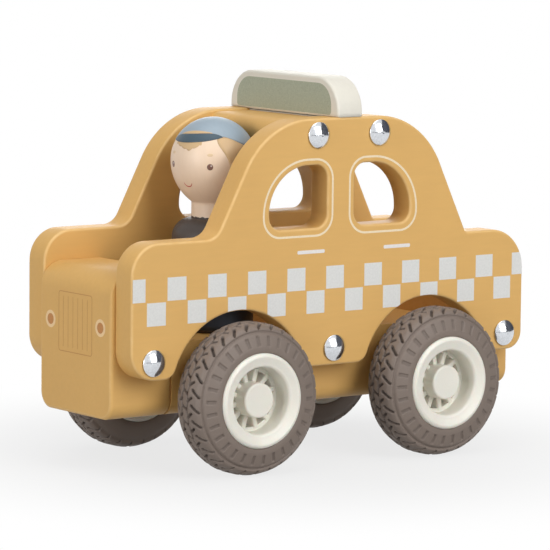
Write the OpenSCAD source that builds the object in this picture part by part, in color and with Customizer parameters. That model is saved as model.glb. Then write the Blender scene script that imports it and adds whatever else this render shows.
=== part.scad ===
// Wooden toy taxi: two painted side panels bolted to wooden blocks, a roof sign across the top,
// two axles with moulded wheels and a peg doll as the driver.
// X points to the nose, Y to the left side, Z up. The origin is on the ground under the middle.

/* [Body] */
// Length over the nose and tail blocks
body_length = 174.2; // [170:0.2:180]
// Distance between the two side panels
inner_width = 44; // [40:0.5:48]
// Thickness of each side panel
panel_thickness = 10; // [8:0.5:11]
// Depth of the nose and tail blocks along the car
block_depth = 25; // [20:0.5:25.5]
// Height of the underside of the blocks
underside_height = 20; // [18:0.5:22]
// Height of the cabin floor
floor_height = 45.6; // [42:0.2:46]
// Height of the top of the nose block
nose_height = 70.8; // [68:0.2:74]
// Height of the top of the tail block
tail_height = 67.6; // [64:0.2:70]
// Rounding of the long lower edges of the blocks
lower_round = 5.5; // [3:0.5:8]
// Rounding of the upper outer edges of the nose and tail
upper_round = 8.5; // [5:0.5:12]

/* [Side panels] */
// How far the nose stands in front of the panels
nose_proud = 1.5; // [0.5:0.1:3]
// How far the tail stands behind the panels
tail_proud = 2.2; // [0.5:0.1:3]
// Height of the lower edge of the panels
panel_bottom = 34.4; // [33:0.2:36]
// Height of the panels along the hood
hood_height = 81.2; // [80:0.2:82]
// Height of the panels along the rear deck
deck_height = 78.1; // [77:0.1:80]
// Height of the roof line
roof_height = 121; // [120.5:0.5:126]
// Place of the foot of the windscreen pillar along the car
screen_foot = 50.7; // [49.5:0.1:52]
// Slope of the windscreen pillar
screen_angle = 62.4; // [61:0.2:65]
// Place of the foot of the rear pillar along the car
back_foot = -58.7; // [-60:0.1:-56]
// Slope of the rear pillar
back_angle = 64.4; // [62:0.2:67]
// Radius of the roof line at both ends
dome_radius = 31; // [28:0.5:32]
// Middle of the post between the two windows
post_place = -2.4; // [-4:0.1:-1]
// Width of the post between the two windows
post_width = 11.8; // [10:0.2:13]
// Length of each window along the car
window_length = 24.8; // [22:0.2:25.2]
// Height of the window sills
sill_height = 83; // [82.4:0.2:85]
// Height of the window heads
head_height = 104.8; // [103:0.2:105]

/* [Wheels] */
// How far the front axle lies behind the middle of the car's front half
front_setback = 3.05; // [2.55:0.05:4.05]
// How far the rear axle lies in front of the middle of the car's rear half
rear_setback = 2.05; // [1.55:0.05:3.05]
// Outer radius of the tyres
tyre_radius = 26.4; // [25.4:0.2:27]
// Distance of the wheels' middle planes from the sides of the blocks
wheel_stand = 14.6; // [14.2:0.1:15.5]
// Radius on which the tyres sit
rim_radius = 16.5; // [15.5:0.1:17]
// Width of the wheels
wheel_width = 19; // [18:0.1:19.6]
// Diameter of the axles
axle_diameter = 5; // [4:0.2:6]
// Clearance on the radius between an axle and its bore
axle_clearance = 0.08; // [0.05:0.01:0.1]
// Number of ribs in each hub
hub_ribs = 12; // [8:1:14]
// Number of tread blocks around each tyre
tread_pitches = 30; // [24:1:32]
// Clearance between a tyre and the wheel arch at the level of the axle
arch_clearance = 1.9; // [1.7:0.1:2.7]

/* [Roof] */
// Thickness of the roof board
roof_thickness = 10; // [9:0.5:11]
// Front edge of the roof board
roof_front = 16.4; // [12:0.2:16.6]
// Length of the roof board
roof_length = 46; // [42:0.5:47]
// Height of the roof sign
sign_size = 13.7; // [12.5:0.1:16]
// Thickness of the roof sign
sign_thickness = 10; // [9:0.5:12]
// Place of the middle of the roof sign along the car
sign_place = -5.6; // [-8:0.2:-4]
// Radius of the upper corners of the roof sign
sign_round = 12.2; // [8:0.1:12.2]

/* [Bolts] */
// Diameter of the bolt heads
bolt_head = 9.8; // [8:0.2:10]
// Height of the bolt heads
bolt_dome = 2.6; // [2:0.1:3]
// Diameter of the bolt shanks
bolt_shank = 4; // [3:0.2:5]
// Depth of the bolts in the blocks
bolt_grip = 14; // [10:0.5:16]
// Height of the lower bolts
bolt_height = 40.5; // [39.5:0.1:41.5]

/* [Driver] */
// Place of the driver along the car
driver_place = 29.6; // [29.4:0.1:33]
// Radius of the driver's body
driver_radius = 14.4; // [12:0.1:14.8]
// Height of the driver's body
driver_body_height = 39.2; // [37:0.1:40]
// Radius of the driver's head
head_radius = 15; // [13.5:0.1:15]
// Radius of the driver's neck
neck_radius = 7.6; // [6:0.1:9]

/* [Hidden] */
$fn = 96;

yellow = "#D9A54F";
cream = "#E6E1D3";
rubber = "#7F7269";
steel = "#C9CCD0";
jacket = "#4F4742";
skin = "#DDBFA3";

over = 1;
// Overlap where a straight side runs into an arc
touch = 0.002;
half_reach = 60;
nose_x = body_length / 2;
panel_front = nose_x - nose_proud;
panel_rear = tail_proud - nose_x;
panel_inside = inner_width / 2;
panel_outside = panel_inside + panel_thickness;
front_axle_x = nose_x / 2 - front_setback;
rear_axle_x = rear_setback - nose_x / 2;
axle_z = tyre_radius;
track_width = inner_width + 2 * wheel_stand;

// Corner radii of the panels
front_low_round = 10;
front_top_round = 11;
rear_top_round = 12.6;
rear_low_round = 8;
hood_fillet = 7;
lobe_round = 5;
window_round = 4.7;
window_flat = 0.5;
window_sweep = head_height - sill_height - window_round - window_flat;

// Wheel arches, a little higher than the axles
arch_lift = 1.4;
arch_radius = tyre_radius + arch_clearance;
arch_z = axle_z + arch_lift;

// Circles of the roof line
dome_z = roof_height - dome_radius;
dome_front_x = screen_foot - (dome_z - hood_height) / tan(screen_angle) - dome_radius / sin(screen_angle);
dome_rear_x = back_foot + (dome_z - deck_height) / tan(back_angle) + dome_radius / sin(back_angle);

// Wheel parts, measured from the middle plane of the wheel
hub_out = wheel_width / 2;
tyre_inset = 0.8;
tyre_half = hub_out - tyre_inset;
hub_side_gap = 0.4;
hub_back = wheel_stand - hub_side_gap;
rim_ring = 4.9;
dish_draft = 0.2;
dish_depth = 8.2;
ledge_width = 1.4;
pocket_depth = 4;
web_thickness = 1.5;
dish_radius = rim_radius - rim_ring;
web_radius = dish_radius - dish_draft;
web_top = hub_out - dish_depth;
pocket_radius = web_radius - ledge_width;
pocket_floor = web_top - pocket_depth;
boss_radius = 6.1;
boss_inset = 2.4;
boss_top = hub_out - boss_inset;
rib_width = 2.1;
rib_rise = 0.4;
rib_round = 0.7;
rib_seat = 0.6;
rib_top = web_top + rib_rise;
sleeve_wall = 2.6;
cap_thickness = 2;
barrel_wall = 2.4;
sleeve_radius = axle_diameter / 2 + sleeve_wall;
axle_end = track_width / 2 + boss_top - cap_thickness;
seat_gap = 0.05;
hub_fit = 0.02;

// Tread of the tyres
crown_half = 5.3;
crown_flat = 2.4;
crown_drop = 0.9;
wall_top = [0.2, 0.985];
wall_foot = [0.62, 0.84];
slot_inset = 2.4;
slot_length = 3.5;
slot_width = 1.3;
slot_depth = 0.7;
link_share = 0.583;
link_slant = -33;
link_length = 3.3;
link_width = 0.84;
link_depth = 1.5;
hook_share = 0.53;
hook_place = 2.5;
hook_slant = 37;
hook_length = 2.8;
hook_width = 0.8;
hook_depth = 1.5;
notch_share = 0.06;
notch_place = 4.75;
notch_slant = -42;
notch_length = 3.9;
notch_width = 0.95;
notch_depth = 1.9;

// Turn of the wheel parts about their axles, as they stand in the picture
front_hub_turn = 15;
rear_hub_turn = 21;
front_tyre_turn = 14.5;
rear_tyre_turn = 11.4;

// Bolts
roof_bolt_inset = 8.6;
roof_bolt_pitch = 26.7;
nose_bolt_shift = 0.7;
tail_bolt_shift = 0.35;
roof_bolt_x = [roof_front - roof_bolt_inset, roof_front - roof_bolt_inset - roof_bolt_pitch];
front_foot_x = (front_axle_x + arch_radius + panel_front) / 2;
rear_foot_x = (rear_axle_x - arch_radius + panel_rear) / 2;
bolt_x = [front_foot_x - nose_bolt_shift, 0, rear_foot_x + tail_bolt_shift];
roof_drop = 0.8;
roof_bottom = roof_height - roof_drop - roof_thickness;
roof_bolt_z = roof_bottom + roof_thickness / 2;
bolt_clearance = 0.1;
bolt_fit = 0.02;
bolt_tip = 0.5;
bolt_rim = 0.6;

// Driver
driver_gap = 0.2;
driver_base = floor_height + driver_gap;
driver_shoulder = driver_base + driver_body_height;
head_rise = 20.2;
head_z = driver_shoulder + head_rise;
shoulder_round = 7;
foot_round = 1;
neck_depth = 8;
neck_gap = 0.3;
neck_fit = 0.02;
chin_factor = 1.2;

// Half of the plane to one side of the turning axis
module right_half() {
    translate([0, -half_reach])
        square([half_reach, 2 * half_reach]);
}

// Quarter disc that faces the given way, or a whole disc where no way is given
module corner_disc(radius, way) {
    if (way == [0, 0])
        circle(r = radius);
    else
        intersection() {
            circle(r = radius);
            translate([way[0] > 0 ? 0 : -radius, way[1] > 0 ? 0 : -radius])
                square(radius);
        }
}

// Flat shape with straight sides between tangent points; a corner is a centre, a radius and a way to face
module rounded_outline(points, corners) {
    polygon(points);
    for (c = corners)
        translate(c[0])
            corner_disc(c[1], c[2]);
}

// Lower part of a side panel, seen from the side
module panel_lower() {
    front_low = [panel_front - front_low_round, panel_bottom + front_low_round];
    front_top = [panel_front - front_top_round, hood_height - front_top_round];
    rear_top = [panel_rear + rear_top_round, deck_height - rear_top_round];
    rear_low = [panel_rear + rear_low_round, panel_bottom + rear_low_round];
    rounded_outline(
        [[front_low[0], panel_bottom], [panel_front, front_low[1]], [panel_front, front_top[1]],
         [front_top[0], hood_height], [screen_foot, hood_height], [back_foot, deck_height],
         [rear_top[0], deck_height], [panel_rear, rear_top[1]], [panel_rear, rear_low[1]],
         [rear_low[0], panel_bottom]],
        [[front_low, front_low_round, [1, -1]], [front_top, front_top_round, [1, 1]],
         [rear_top, rear_top_round, [-1, 1]], [rear_low, rear_low_round, [-1, -1]]]);
}

// Cabin part of a side panel: two pillars and the roof line
module panel_cabin() {
    reach = dome_radius - touch;
    front_touch = [dome_front_x + reach * sin(screen_angle), dome_z + reach * cos(screen_angle)];
    rear_touch = [dome_rear_x - reach * sin(back_angle), dome_z + reach * cos(back_angle)];
    rounded_outline(
        [[screen_foot, hood_height], front_touch, [dome_front_x, roof_height], [dome_rear_x, roof_height],
         rear_touch, [back_foot, deck_height], [back_foot, arch_z + arch_radius],
         [screen_foot, arch_z + arch_radius]],
        [[[dome_front_x, dome_z], dome_radius, [1, 1]], [[dome_rear_x, dome_z], dome_radius, [-1, 1]]]);
}

// Hollow corner where the windscreen pillar meets the hood line
module hood_corner() {
    along = hood_fillet * tan(screen_angle / 2);
    pillar = [screen_foot - along * cos(screen_angle), hood_height + along * sin(screen_angle)];
    difference() {
        polygon([[pillar[0], hood_height], [screen_foot + along, hood_height], pillar]);
        translate([screen_foot + along, hood_height + hood_fillet])
            circle(r = hood_fillet + touch);
    }
}

// Waste outside the rounded end of a panel foot beside a wheel arch
module arch_corner(axle_x, side) {
    rise = panel_bottom + lobe_round - arch_z;
    run = sqrt(pow(arch_radius + lobe_round, 2) - rise * rise);
    share = arch_radius / (arch_radius + lobe_round);
    centre = [axle_x + side * run, panel_bottom + lobe_round];
    difference() {
        polygon([centre, [centre[0], panel_bottom - over], [axle_x, panel_bottom - over],
                 [axle_x + side * run * share, arch_z + rise * share]]);
        translate(centre)
            circle(r = lobe_round + touch);
    }
}

// Front window, seen from the side
module window_outline() {
    rear = post_place + post_width / 2;
    front = rear + window_length;
    r = window_round;
    rounded_outline(
        [[rear + r, sill_height], [front - r, sill_height], [front, sill_height + r],
         [front, head_height - window_sweep], [front - window_sweep, head_height],
         [rear + r, head_height], [rear, head_height - r], [rear, sill_height + r]],
        [[[rear + r, sill_height + r], r, [-1, -1]], [[front - r, sill_height + r], r, [1, -1]],
         [[front - window_sweep, head_height - window_sweep], window_sweep, [1, 1]],
         [[rear + r, head_height - r], r, [-1, 1]]]);
}

// Complete outline of a side panel
module panel_outline() {
    difference() {
        union() {
            panel_lower();
            panel_cabin();
            hood_corner();
        }
        for (axle_x = [front_axle_x, rear_axle_x]) {
            translate([axle_x, arch_z])
                circle(r = arch_radius);
            arch_corner(axle_x, 1);
            arch_corner(axle_x, -1);
        }
        window_outline();
        translate([2 * post_place, 0])
            mirror([1, 0])
                window_outline();
    }
}

// Round holes along Y through everything at the bolt places
module bolt_holes(radius, reach) {
    for (x = bolt_x)
        translate([x, reach, bolt_height])
            rotate([90, 0, 0])
                cylinder(r = radius, h = 2 * reach);
    for (x = roof_bolt_x)
        translate([x, reach, roof_bolt_z])
            rotate([90, 0, 0])
                cylinder(r = radius, h = 2 * reach);
}

// Side panel whose outer face lies at the given Y
module side_panel(outer_y) {
    difference() {
        translate([0, outer_y, 0])
            rotate([90, 0, 0])
                linear_extrude(height = panel_thickness)
                    panel_outline();
        bolt_holes(bolt_shank / 2 + bolt_clearance, panel_outside + over);
    }
}

module left_panel() {
    color(yellow)
        side_panel(panel_outside);
}

module right_panel() {
    color(yellow)
        side_panel(-panel_inside);
}

// Cross-section of the blocks between the panels, with rounded long lower edges
module block_section(top) {
    w = panel_inside;
    r = lower_round;
    rounded_outline(
        [[r - w, underside_height], [w - r, underside_height], [w, underside_height + r],
         [w, top], [-w, top], [-w, underside_height + r]],
        [[[w - r, underside_height + r], r, [1, -1]], [[r - w, underside_height + r], r, [-1, -1]]]);
}

// Block at one end of the car, drawn at the nose
module end_block(top) {
    back = nose_x - block_depth;
    r = upper_round;
    intersection() {
        translate([back, 0, 0])
            rotate([90, 0, 90])
                linear_extrude(height = block_depth)
                    block_section(top);
        translate([0, panel_inside, 0])
            rotate([90, 0, 0])
                linear_extrude(height = inner_width)
                    rounded_outline(
                        [[back, underside_height], [nose_x, underside_height], [nose_x, top - r],
                         [nose_x - r, top], [back, top]],
                        [[[nose_x - r, top - r], r, [1, 1]]]);
    }
}

// Blind holes from both sides that hold the ends of the bolts
module bolt_sockets() {
    for (side = [-1, 1])
        intersection() {
            bolt_holes(bolt_shank / 2 + bolt_fit, panel_inside + over);
            translate([-nose_x, side > 0 ? panel_inside - bolt_grip - bolt_tip : -panel_inside - over, 0])
                cube([body_length, bolt_grip + bolt_tip + over, roof_height]);
        }
}

module nose_block() {
    color(yellow)
        difference() {
            end_block(nose_height);
            bolt_sockets();
        }
}

module tail_block() {
    color(yellow)
        difference() {
            mirror([1, 0, 0])
                end_block(tail_height);
            bolt_sockets();
        }
}

module floor_block() {
    length = body_length - 2 * block_depth;
    color(yellow)
        difference() {
            translate([-length / 2, 0, 0])
                rotate([90, 0, 90])
                    linear_extrude(height = length)
                        block_section(floor_height);
            for (x = [front_axle_x, rear_axle_x])
                translate([x, panel_inside + over, axle_z])
                    rotate([90, 0, 0])
                        cylinder(r = axle_diameter / 2 + axle_clearance, h = inner_width + 2 * over);
            bolt_sockets();
        }
}

module roof_board() {
    r = roof_thickness / 2;
    back = roof_front - roof_length;
    color(yellow)
        difference() {
            translate([0, panel_inside, 0])
                rotate([90, 0, 0])
                    linear_extrude(height = inner_width)
                        rounded_outline(
                            [[back + r, roof_bottom], [roof_front - r, roof_bottom],
                             [roof_front - r, roof_bottom + roof_thickness],
                             [back + r, roof_bottom + roof_thickness]],
                            [[[roof_front - r, roof_bolt_z], r, [0, 0]],
                             [[back + r, roof_bolt_z], r, [0, 0]]]);
            bolt_sockets();
        }
}

module roof_sign() {
    w = panel_outside;
    top = roof_height + sign_size;
    r = sign_round;
    color(cream)
        translate([sign_place - sign_thickness / 2, 0, 0])
            rotate([90, 0, 90])
                linear_extrude(height = sign_thickness)
                    rounded_outline(
                        [[-w, roof_height], [w, roof_height], [w, top - r],
                         [w - r, top], [r - w, top], [-w, top - r]],
                        [[[w - r, top - r], r, [1, 1]], [[r - w, top - r], r, [-1, 1]]]);
}

// Bolt with a domed head, head upwards, underside of the head at the origin
module bolt() {
    a = bolt_head / 2;
    h = bolt_dome - bolt_rim;
    dome = (a * a + h * h) / (2 * h);
    cylinder(r = a, h = bolt_rim);
    intersection() {
        translate([0, 0, bolt_dome - dome])
            sphere(r = dome);
        cylinder(r = a, h = bolt_dome);
    }
    translate([0, 0, -panel_thickness - bolt_grip])
        cylinder(r = bolt_shank / 2, h = panel_thickness + bolt_grip + bolt_rim);
}

// The same bolts on both sides
module bolt_row(places, height) {
    for (x = places)
        for (side = [-1, 1])
            translate([x, side * panel_outside, height])
                rotate([-90 * side, 0, 0])
                    bolt();
}

module roof_bolts() {
    color(steel)
        bolt_row(roof_bolt_x, roof_bolt_z);
}

module lower_bolts() {
    color(steel)
        bolt_row(bolt_x, bolt_height);
}

// Steel rod across the car
module axle(x) {
    color(steel)
        translate([x, axle_end, axle_z])
            rotate([90, 0, 0])
                cylinder(r = axle_diameter / 2, h = 2 * axle_end);
}

module front_axle() {
    axle(front_axle_x);
}

module rear_axle() {
    axle(rear_axle_x);
}

// Outline of a hub from the axis outwards; the outer side of the wheel is up
module hub_section() {
    lip = 1.4;
    inner_lip = 1.2;
    lip_drop = 0.8;
    edge = 0.7;
    web_under = pocket_floor - web_thickness;
    barrel = rim_radius - barrel_wall;
    rounded_outline(
        [[rim_radius, -tyre_half], [rim_radius, hub_out - lip], [rim_radius - lip, hub_out],
         [dish_radius + inner_lip, hub_out - lip_drop], [dish_radius, hub_out - lip_drop - inner_lip],
         [web_radius, web_top], [pocket_radius, web_top], [pocket_radius, pocket_floor],
         [boss_radius, pocket_floor], [boss_radius, boss_top - edge],
         [boss_radius - edge, boss_top], [0, boss_top], [0, -hub_back], [sleeve_radius, -hub_back],
         [sleeve_radius, web_under], [barrel, web_under], [barrel, -tyre_half]],
        [[[rim_radius - lip, hub_out - lip], lip, [1, 1]],
         [[dish_radius + inner_lip, hub_out - lip_drop - inner_lip], inner_lip, [-1, 1]],
         [[boss_radius - edge, boss_top - edge], edge, [1, 1]]]);
}

// Rib from the boss to the ledge of a hub, along X, with rounded upper edges
module hub_rib() {
    half = rib_width / 2;
    inner = half - rib_round;
    upper = rib_top - rib_round;
    translate([boss_radius - over, 0, 0])
        rotate([90, 0, 90])
            linear_extrude(height = pocket_radius - boss_radius + over + rib_seat)
                rounded_outline(
                    [[half, pocket_floor - over / 2], [half, upper], [inner, rib_top], [-inner, rib_top],
                     [-half, upper], [-half, pocket_floor - over / 2]],
                    [[[inner, upper], rib_round, [1, 1]], [[-inner, upper], rib_round, [-1, 1]]]);
}

// Moulded hub, outer side up, with ribs between the boss and the ledge and a blind bore for the axle
module hub() {
    difference() {
        union() {
            rotate_extrude()
                hub_section();
            for (i = [0 : hub_ribs - 1])
                rotate([0, 0, i * 360 / hub_ribs])
                    hub_rib();
        }
        translate([0, 0, -hub_back - over])
            cylinder(r = axle_diameter / 2 + hub_fit, h = hub_back + over + axle_end - track_width / 2);
    }
}

// Half of the tyre outline, from the bead up the sidewall to the edge of the crown
function tyre_side() =
    [for (p = [[0, 0.96], [0.05, 0.985], wall_top, wall_foot, [0.67, 0.8], [0.695, 0.71],
               [0.735, 0.7], [0.76, 0.765], [0.83, 0.725]])
        [rim_radius + seat_gap + p[0] * (tyre_radius - rim_radius), p[1] * tyre_half]];

// Outline of a tyre from the axis outwards
module tyre_section() {
    side = tyre_side();
    last = len(side) - 1;
    crown = [[tyre_radius - crown_drop, -crown_half], [tyre_radius, -crown_flat],
             [tyre_radius, crown_flat], [tyre_radius - crown_drop, crown_half]];
    polygon(concat([for (p = side) [p[0], -p[1]]], crown, [for (i = [0 : last]) side[last - i]]));
}

// Short slots on the outer sidewall, along its slope
module sidewall_slots() {
    run = (wall_foot[0] - wall_top[0]) * (tyre_radius - rim_radius);
    fall = (wall_top[1] - wall_foot[1]) * tyre_half;
    start = rim_radius + seat_gap + wall_top[0] * (tyre_radius - rim_radius);
    for (i = [0 : tread_pitches - 1])
        rotate([0, 0, i * 360 / tread_pitches])
            translate([start, 0, wall_top[1] * tyre_half])
                rotate([0, atan2(fall, run), 0])
                    translate([rim_radius + slot_inset - start, -slot_width / 2, -slot_depth])
                        cube([slot_length, slot_width, slot_depth + over]);
}

// The same slanted cut in each tread block, at a share of the pitch and a place across the tread
module tread_cuts(share, place, slant, length, width, depth) {
    for (i = [0 : tread_pitches - 1])
        rotate([0, 0, -(i + share) * 360 / tread_pitches])
            translate([tyre_radius - depth, 0, place])
                rotate([slant, 0, 0])
                    translate([0, -width / 2, -length / 2])
                        cube([depth + over, width, length]);
}

// Links across the middle of the tread, with hooks and shoulder notches on both sides of them
module tread_pattern() {
    tread_cuts(link_share, 0, link_slant, link_length, link_width, link_depth);
    for (side = [-1, 1]) {
        tread_cuts(link_share + side * hook_share, side * hook_place, hook_slant, hook_length,
                   hook_width, hook_depth);
        tread_cuts(link_share - side * notch_share, side * notch_place, notch_slant, notch_length,
                   notch_width, notch_depth);
    }
}

// Rubber tyre, outer side up
module tyre() {
    difference() {
        rotate_extrude()
            tyre_section();
        sidewall_slots();
        tread_pattern();
    }
}

// Puts a wheel part drawn outer side up in its place on the car
module at_wheel(x, side, turn) {
    translate([x, side * track_width / 2, axle_z])
        rotate([-90 * side, 0, 0])
            rotate([0, 0, -turn])
                children();
}

module front_left_hub() {
    color(cream)
        at_wheel(front_axle_x, 1, front_hub_turn)
            hub();
}

module front_right_hub() {
    color(cream)
        at_wheel(front_axle_x, -1, front_hub_turn)
            hub();
}

module rear_left_hub() {
    color(cream)
        at_wheel(rear_axle_x, 1, rear_hub_turn)
            hub();
}

module rear_right_hub() {
    color(cream)
        at_wheel(rear_axle_x, -1, rear_hub_turn)
            hub();
}

module front_left_tyre() {
    color(rubber)
        at_wheel(front_axle_x, 1, front_tyre_turn)
            tyre();
}

module front_right_tyre() {
    color(rubber)
        at_wheel(front_axle_x, -1, front_tyre_turn)
            tyre();
}

module rear_left_tyre() {
    color(rubber)
        at_wheel(rear_axle_x, 1, rear_tyre_turn)
            tyre();
}

module rear_right_tyre() {
    color(rubber)
        at_wheel(rear_axle_x, -1, rear_tyre_turn)
            tyre();
}

// Turned body of the driver with a hole for the neck
module driver_body() {
    r = driver_radius;
    h = driver_body_height;
    s = shoulder_round;
    color(jacket)
        translate([driver_place, 0, driver_base])
            difference() {
                rotate_extrude()
                    intersection() {
                        rounded_outline(
                            [[0, 0], [r - foot_round, 0], [r, foot_round], [r, h - s], [r - s, h], [0, h]],
                            [[[r - s, h - s], s, [1, 1]],
                             [[r - foot_round, foot_round], foot_round, [1, -1]]]);
                        right_half();
                    }
                translate([0, 0, h - neck_depth])
                    cylinder(r = neck_radius + neck_fit, h = neck_depth + over);
            }
}

// Turned head with the neck
module driver_head() {
    chin = chin_factor * head_radius;
    neck = head_rise + neck_depth - neck_gap;
    color(skin)
        translate([driver_place, 0, head_z])
            rotate_extrude()
                intersection() {
                    union() {
                        circle(r = head_radius);
                        intersection() {
                            translate([head_radius - chin, 0])
                                circle(r = chin);
                            translate([0, -half_reach])
                                square([half_reach, half_reach]);
                        }
                        translate([0, -neck])
                            square([neck_radius, neck]);
                    }
                    right_half();
                }
}

left_panel();
right_panel();
nose_block();
floor_block();
tail_block();
roof_board();
roof_sign();
roof_bolts();
lower_bolts();
front_axle();
rear_axle();
front_left_hub();
front_right_hub();
rear_left_hub();
rear_right_hub();
front_left_tyre();
front_right_tyre();
rear_left_tyre();
rear_right_tyre();
driver_body();
driver_head();
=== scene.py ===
"""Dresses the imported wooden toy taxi: boards with rounded edges, printed trim, wheels, bolts and the doll.

Sizes are in millimetres in the part's own frame: X to the nose, Y to the left side, Z up.
The room is in metres.
"""

import logging
from dataclasses import dataclass, fields
from enum import Enum
from typing import Callable, Sequence

import bmesh
import bpy
import numpy as np
from mathutils import Matrix, Vector
from mathutils.geometry import tessellate_polygon


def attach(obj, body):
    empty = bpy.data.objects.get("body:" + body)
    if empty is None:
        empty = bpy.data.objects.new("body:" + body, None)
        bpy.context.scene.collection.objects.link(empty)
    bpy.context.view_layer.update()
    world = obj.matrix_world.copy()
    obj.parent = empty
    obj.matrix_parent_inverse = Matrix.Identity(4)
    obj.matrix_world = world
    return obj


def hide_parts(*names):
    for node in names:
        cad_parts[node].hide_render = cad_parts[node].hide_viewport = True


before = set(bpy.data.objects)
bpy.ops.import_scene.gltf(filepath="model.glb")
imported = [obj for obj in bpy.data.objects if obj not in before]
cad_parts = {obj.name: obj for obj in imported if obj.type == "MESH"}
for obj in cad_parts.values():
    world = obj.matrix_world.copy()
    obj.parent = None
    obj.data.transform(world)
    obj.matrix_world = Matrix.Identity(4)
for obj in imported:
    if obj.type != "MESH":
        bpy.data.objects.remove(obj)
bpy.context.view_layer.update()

MM = 0.001
TURN = 2 * np.pi
# Name of the point attribute that places the lighter edges (worn paint and painted highlight) and the
# painted shade in tyre grooves
EDGE = "edge"
LOG = logging.getLogger("toy_taxi")

# Points of a mesh closer than this are welded, in metres
WELD = 2e-6
# Points of a loop closer than this count as one
SAME = 1e-4
# Fewest points on an arc
ARC_POINTS = 5
# Half the thickness of a film of ink
FILM = 0.03
# Flat border of a board's face beside its rounded edge
SHELF = 0.5
# Range that the values of a noise mostly keep to
NOISE_RANGE = (0.3, 0.7)
# Constants of the display's colour curve
CURVE_FOOT, CURVE_SLOPE, CURVE_SHIFT, CURVE_POWER = 0.04045, 12.92, 0.055, 2.4
# Sockets of a mix node for colours: the share, the two colours and the result
MIX_INPUTS, MIX_RESULT = (0, 6, 7), 2

Array = np.ndarray
Colour = tuple[int, int, int]
Point = tuple[float, float]
Place = Callable[[Array, Array], Array]
Material = bpy.types.Material
Socket = bpy.types.NodeSocket
Finishes = dict[str, bpy.types.Material]


class Side(Enum):
    """The two sides of the car, as the sign of Y."""

    LEFT = 1
    RIGHT = -1


class End(Enum):
    """The two ends of the car, as the sign of X."""

    FRONT = 1
    REAR = -1


# Surfaces


@dataclass(frozen=True)
class Patch:
    """A part of a surface.

    Points are in millimetres, faces are rows of indices, and edge says how far each point lies on an edge.
    """

    points: Array
    faces: Array
    smooth: bool = True
    edge: Array | None = None


def grid(points: Array, edge: Array | None = None, smooth: bool = True) -> Patch:
    """Spans quads between the neighbours of a grid; equal points on its seams and poles are welded later.

    Args:
        points: Rows and columns of points in space.
        edge: How far each row or each point lies on an edge, from 0 to 1.
        smooth: Whether the quads are shaded as one round surface.

    Returns:
        The patch of quads.
    """
    rows, columns = points.shape[:2]
    index = np.arange(rows * columns).reshape(rows, columns)
    quads = np.stack([index[:-1, :-1], index[:-1, 1:], index[1:, 1:], index[1:, :-1]], axis=-1)
    weight = None if edge is None else np.broadcast_to(edge.reshape(rows, -1), (rows, columns)).ravel()
    return Patch(points.reshape(-1, 3), quads.reshape(-1, 4), smooth, weight)


def skin(outer: Array, inner: Array, wraps: bool = False, smooth: bool = True) -> list[Patch]:
    """Closes two grids of the same shape into one thin solid.

    Args:
        outer: Grid of the side that shows.
        inner: Grid of the side underneath.
        wraps: Whether the last column meets the first, so that no wall is needed there.
        smooth: Whether both sides are shaded as round surfaces.

    Returns:
        Both grids and the walls between their borders.
    """
    walls = [np.stack([outer[0], inner[0]]), np.stack([outer[-1], inner[-1]])]
    if not wraps:
        walls += [np.stack([outer[:, 0], inner[:, 0]]), np.stack([outer[:, -1], inner[:, -1]])]
    return [grid(part, smooth=smooth) for part in (outer, inner, *walls)]


def closed(loop: Array) -> Array:
    """Repeats a loop's first point at its end."""
    return np.concatenate([loop, loop[:1]])


def arc(centre: Sequence[float], radius: float, start: float, end: float, step: float = 0.7) -> Array:
    """Points on a circle between two angles, about one step apart.

    Args:
        centre: Middle of the circle.
        radius: Its radius.
        start: First angle in degrees.
        end: Last angle in degrees; a smaller one runs clockwise.
        step: Wanted distance between points.

    Returns:
        The points of the arc.
    """
    sweep = np.radians(end - start)
    count = max(ARC_POINTS, int(np.ceil(abs(sweep) * radius / step)) + 1)
    angle = np.radians(start) + np.linspace(0, sweep, count)
    return np.column_stack([centre[0] + radius * np.cos(angle), centre[1] + radius * np.sin(angle)])


def loop_of(*parts: Array) -> Array:
    """Joins stretches of points into one closed loop and drops the points that repeat.

    Args:
        parts: The stretches in their order.

    Returns:
        The loop, whose last side runs back to its first point.
    """
    points = np.concatenate(parts)
    step = np.linalg.norm(points - np.roll(points, 1, axis=0), axis=1)
    return points[step > SAME]


def rounded_box(low: Sequence[float], high: Sequence[float], radius: float, step: float = 0.4) -> Array:
    """Closed loop of a rectangle with four equal round corners, anticlockwise from the lower left.

    Args:
        low: Lower left corner.
        high: Upper right corner.
        radius: Radius of the corners.
        step: Wanted distance between points.

    Returns:
        The loop.
    """
    x0, y0, x1, y1 = low[0] + radius, low[1] + radius, high[0] - radius, high[1] - radius
    return loop_of(arc((x0, y0), radius, 180, 270, step), arc((x1, y0), radius, 270, 360, step),
                   arc((x1, y1), radius, 0, 90, step), arc((x0, y1), radius, 90, 180, step))


def inset(loop: Array, depth: float) -> Array:
    """Moves a closed loop to its left side.

    Each point goes along the mitre of its two sides, so that both sides move by the same depth.

    Args:
        loop: Points of the loop, with the material on the left.
        depth: Distance to move; a negative one moves to the right.

    Returns:
        The moved loop.
    """
    ahead = np.roll(loop, -1, axis=0) - loop
    ahead = ahead / np.linalg.norm(ahead, axis=1, keepdims=True)
    after = np.column_stack([-ahead[:, 1], ahead[:, 0]])
    before = np.roll(after, 1, axis=0)
    mitre = (after + before) / (1 + np.sum(after * before, axis=1, keepdims=True))
    return loop + depth * mitre


def thinned(loop: Array, count: int) -> Array:
    """Takes a set number of points at even shares of a line's index.

    Args:
        loop: Points of the line.
        count: Wanted number of points.

    Returns:
        The points, with the same first and last one.
    """
    index = np.linspace(0, len(loop) - 1, count)
    return np.column_stack([np.interp(index, np.arange(len(loop)), loop[:, i]) for i in (0, 1)])


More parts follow.
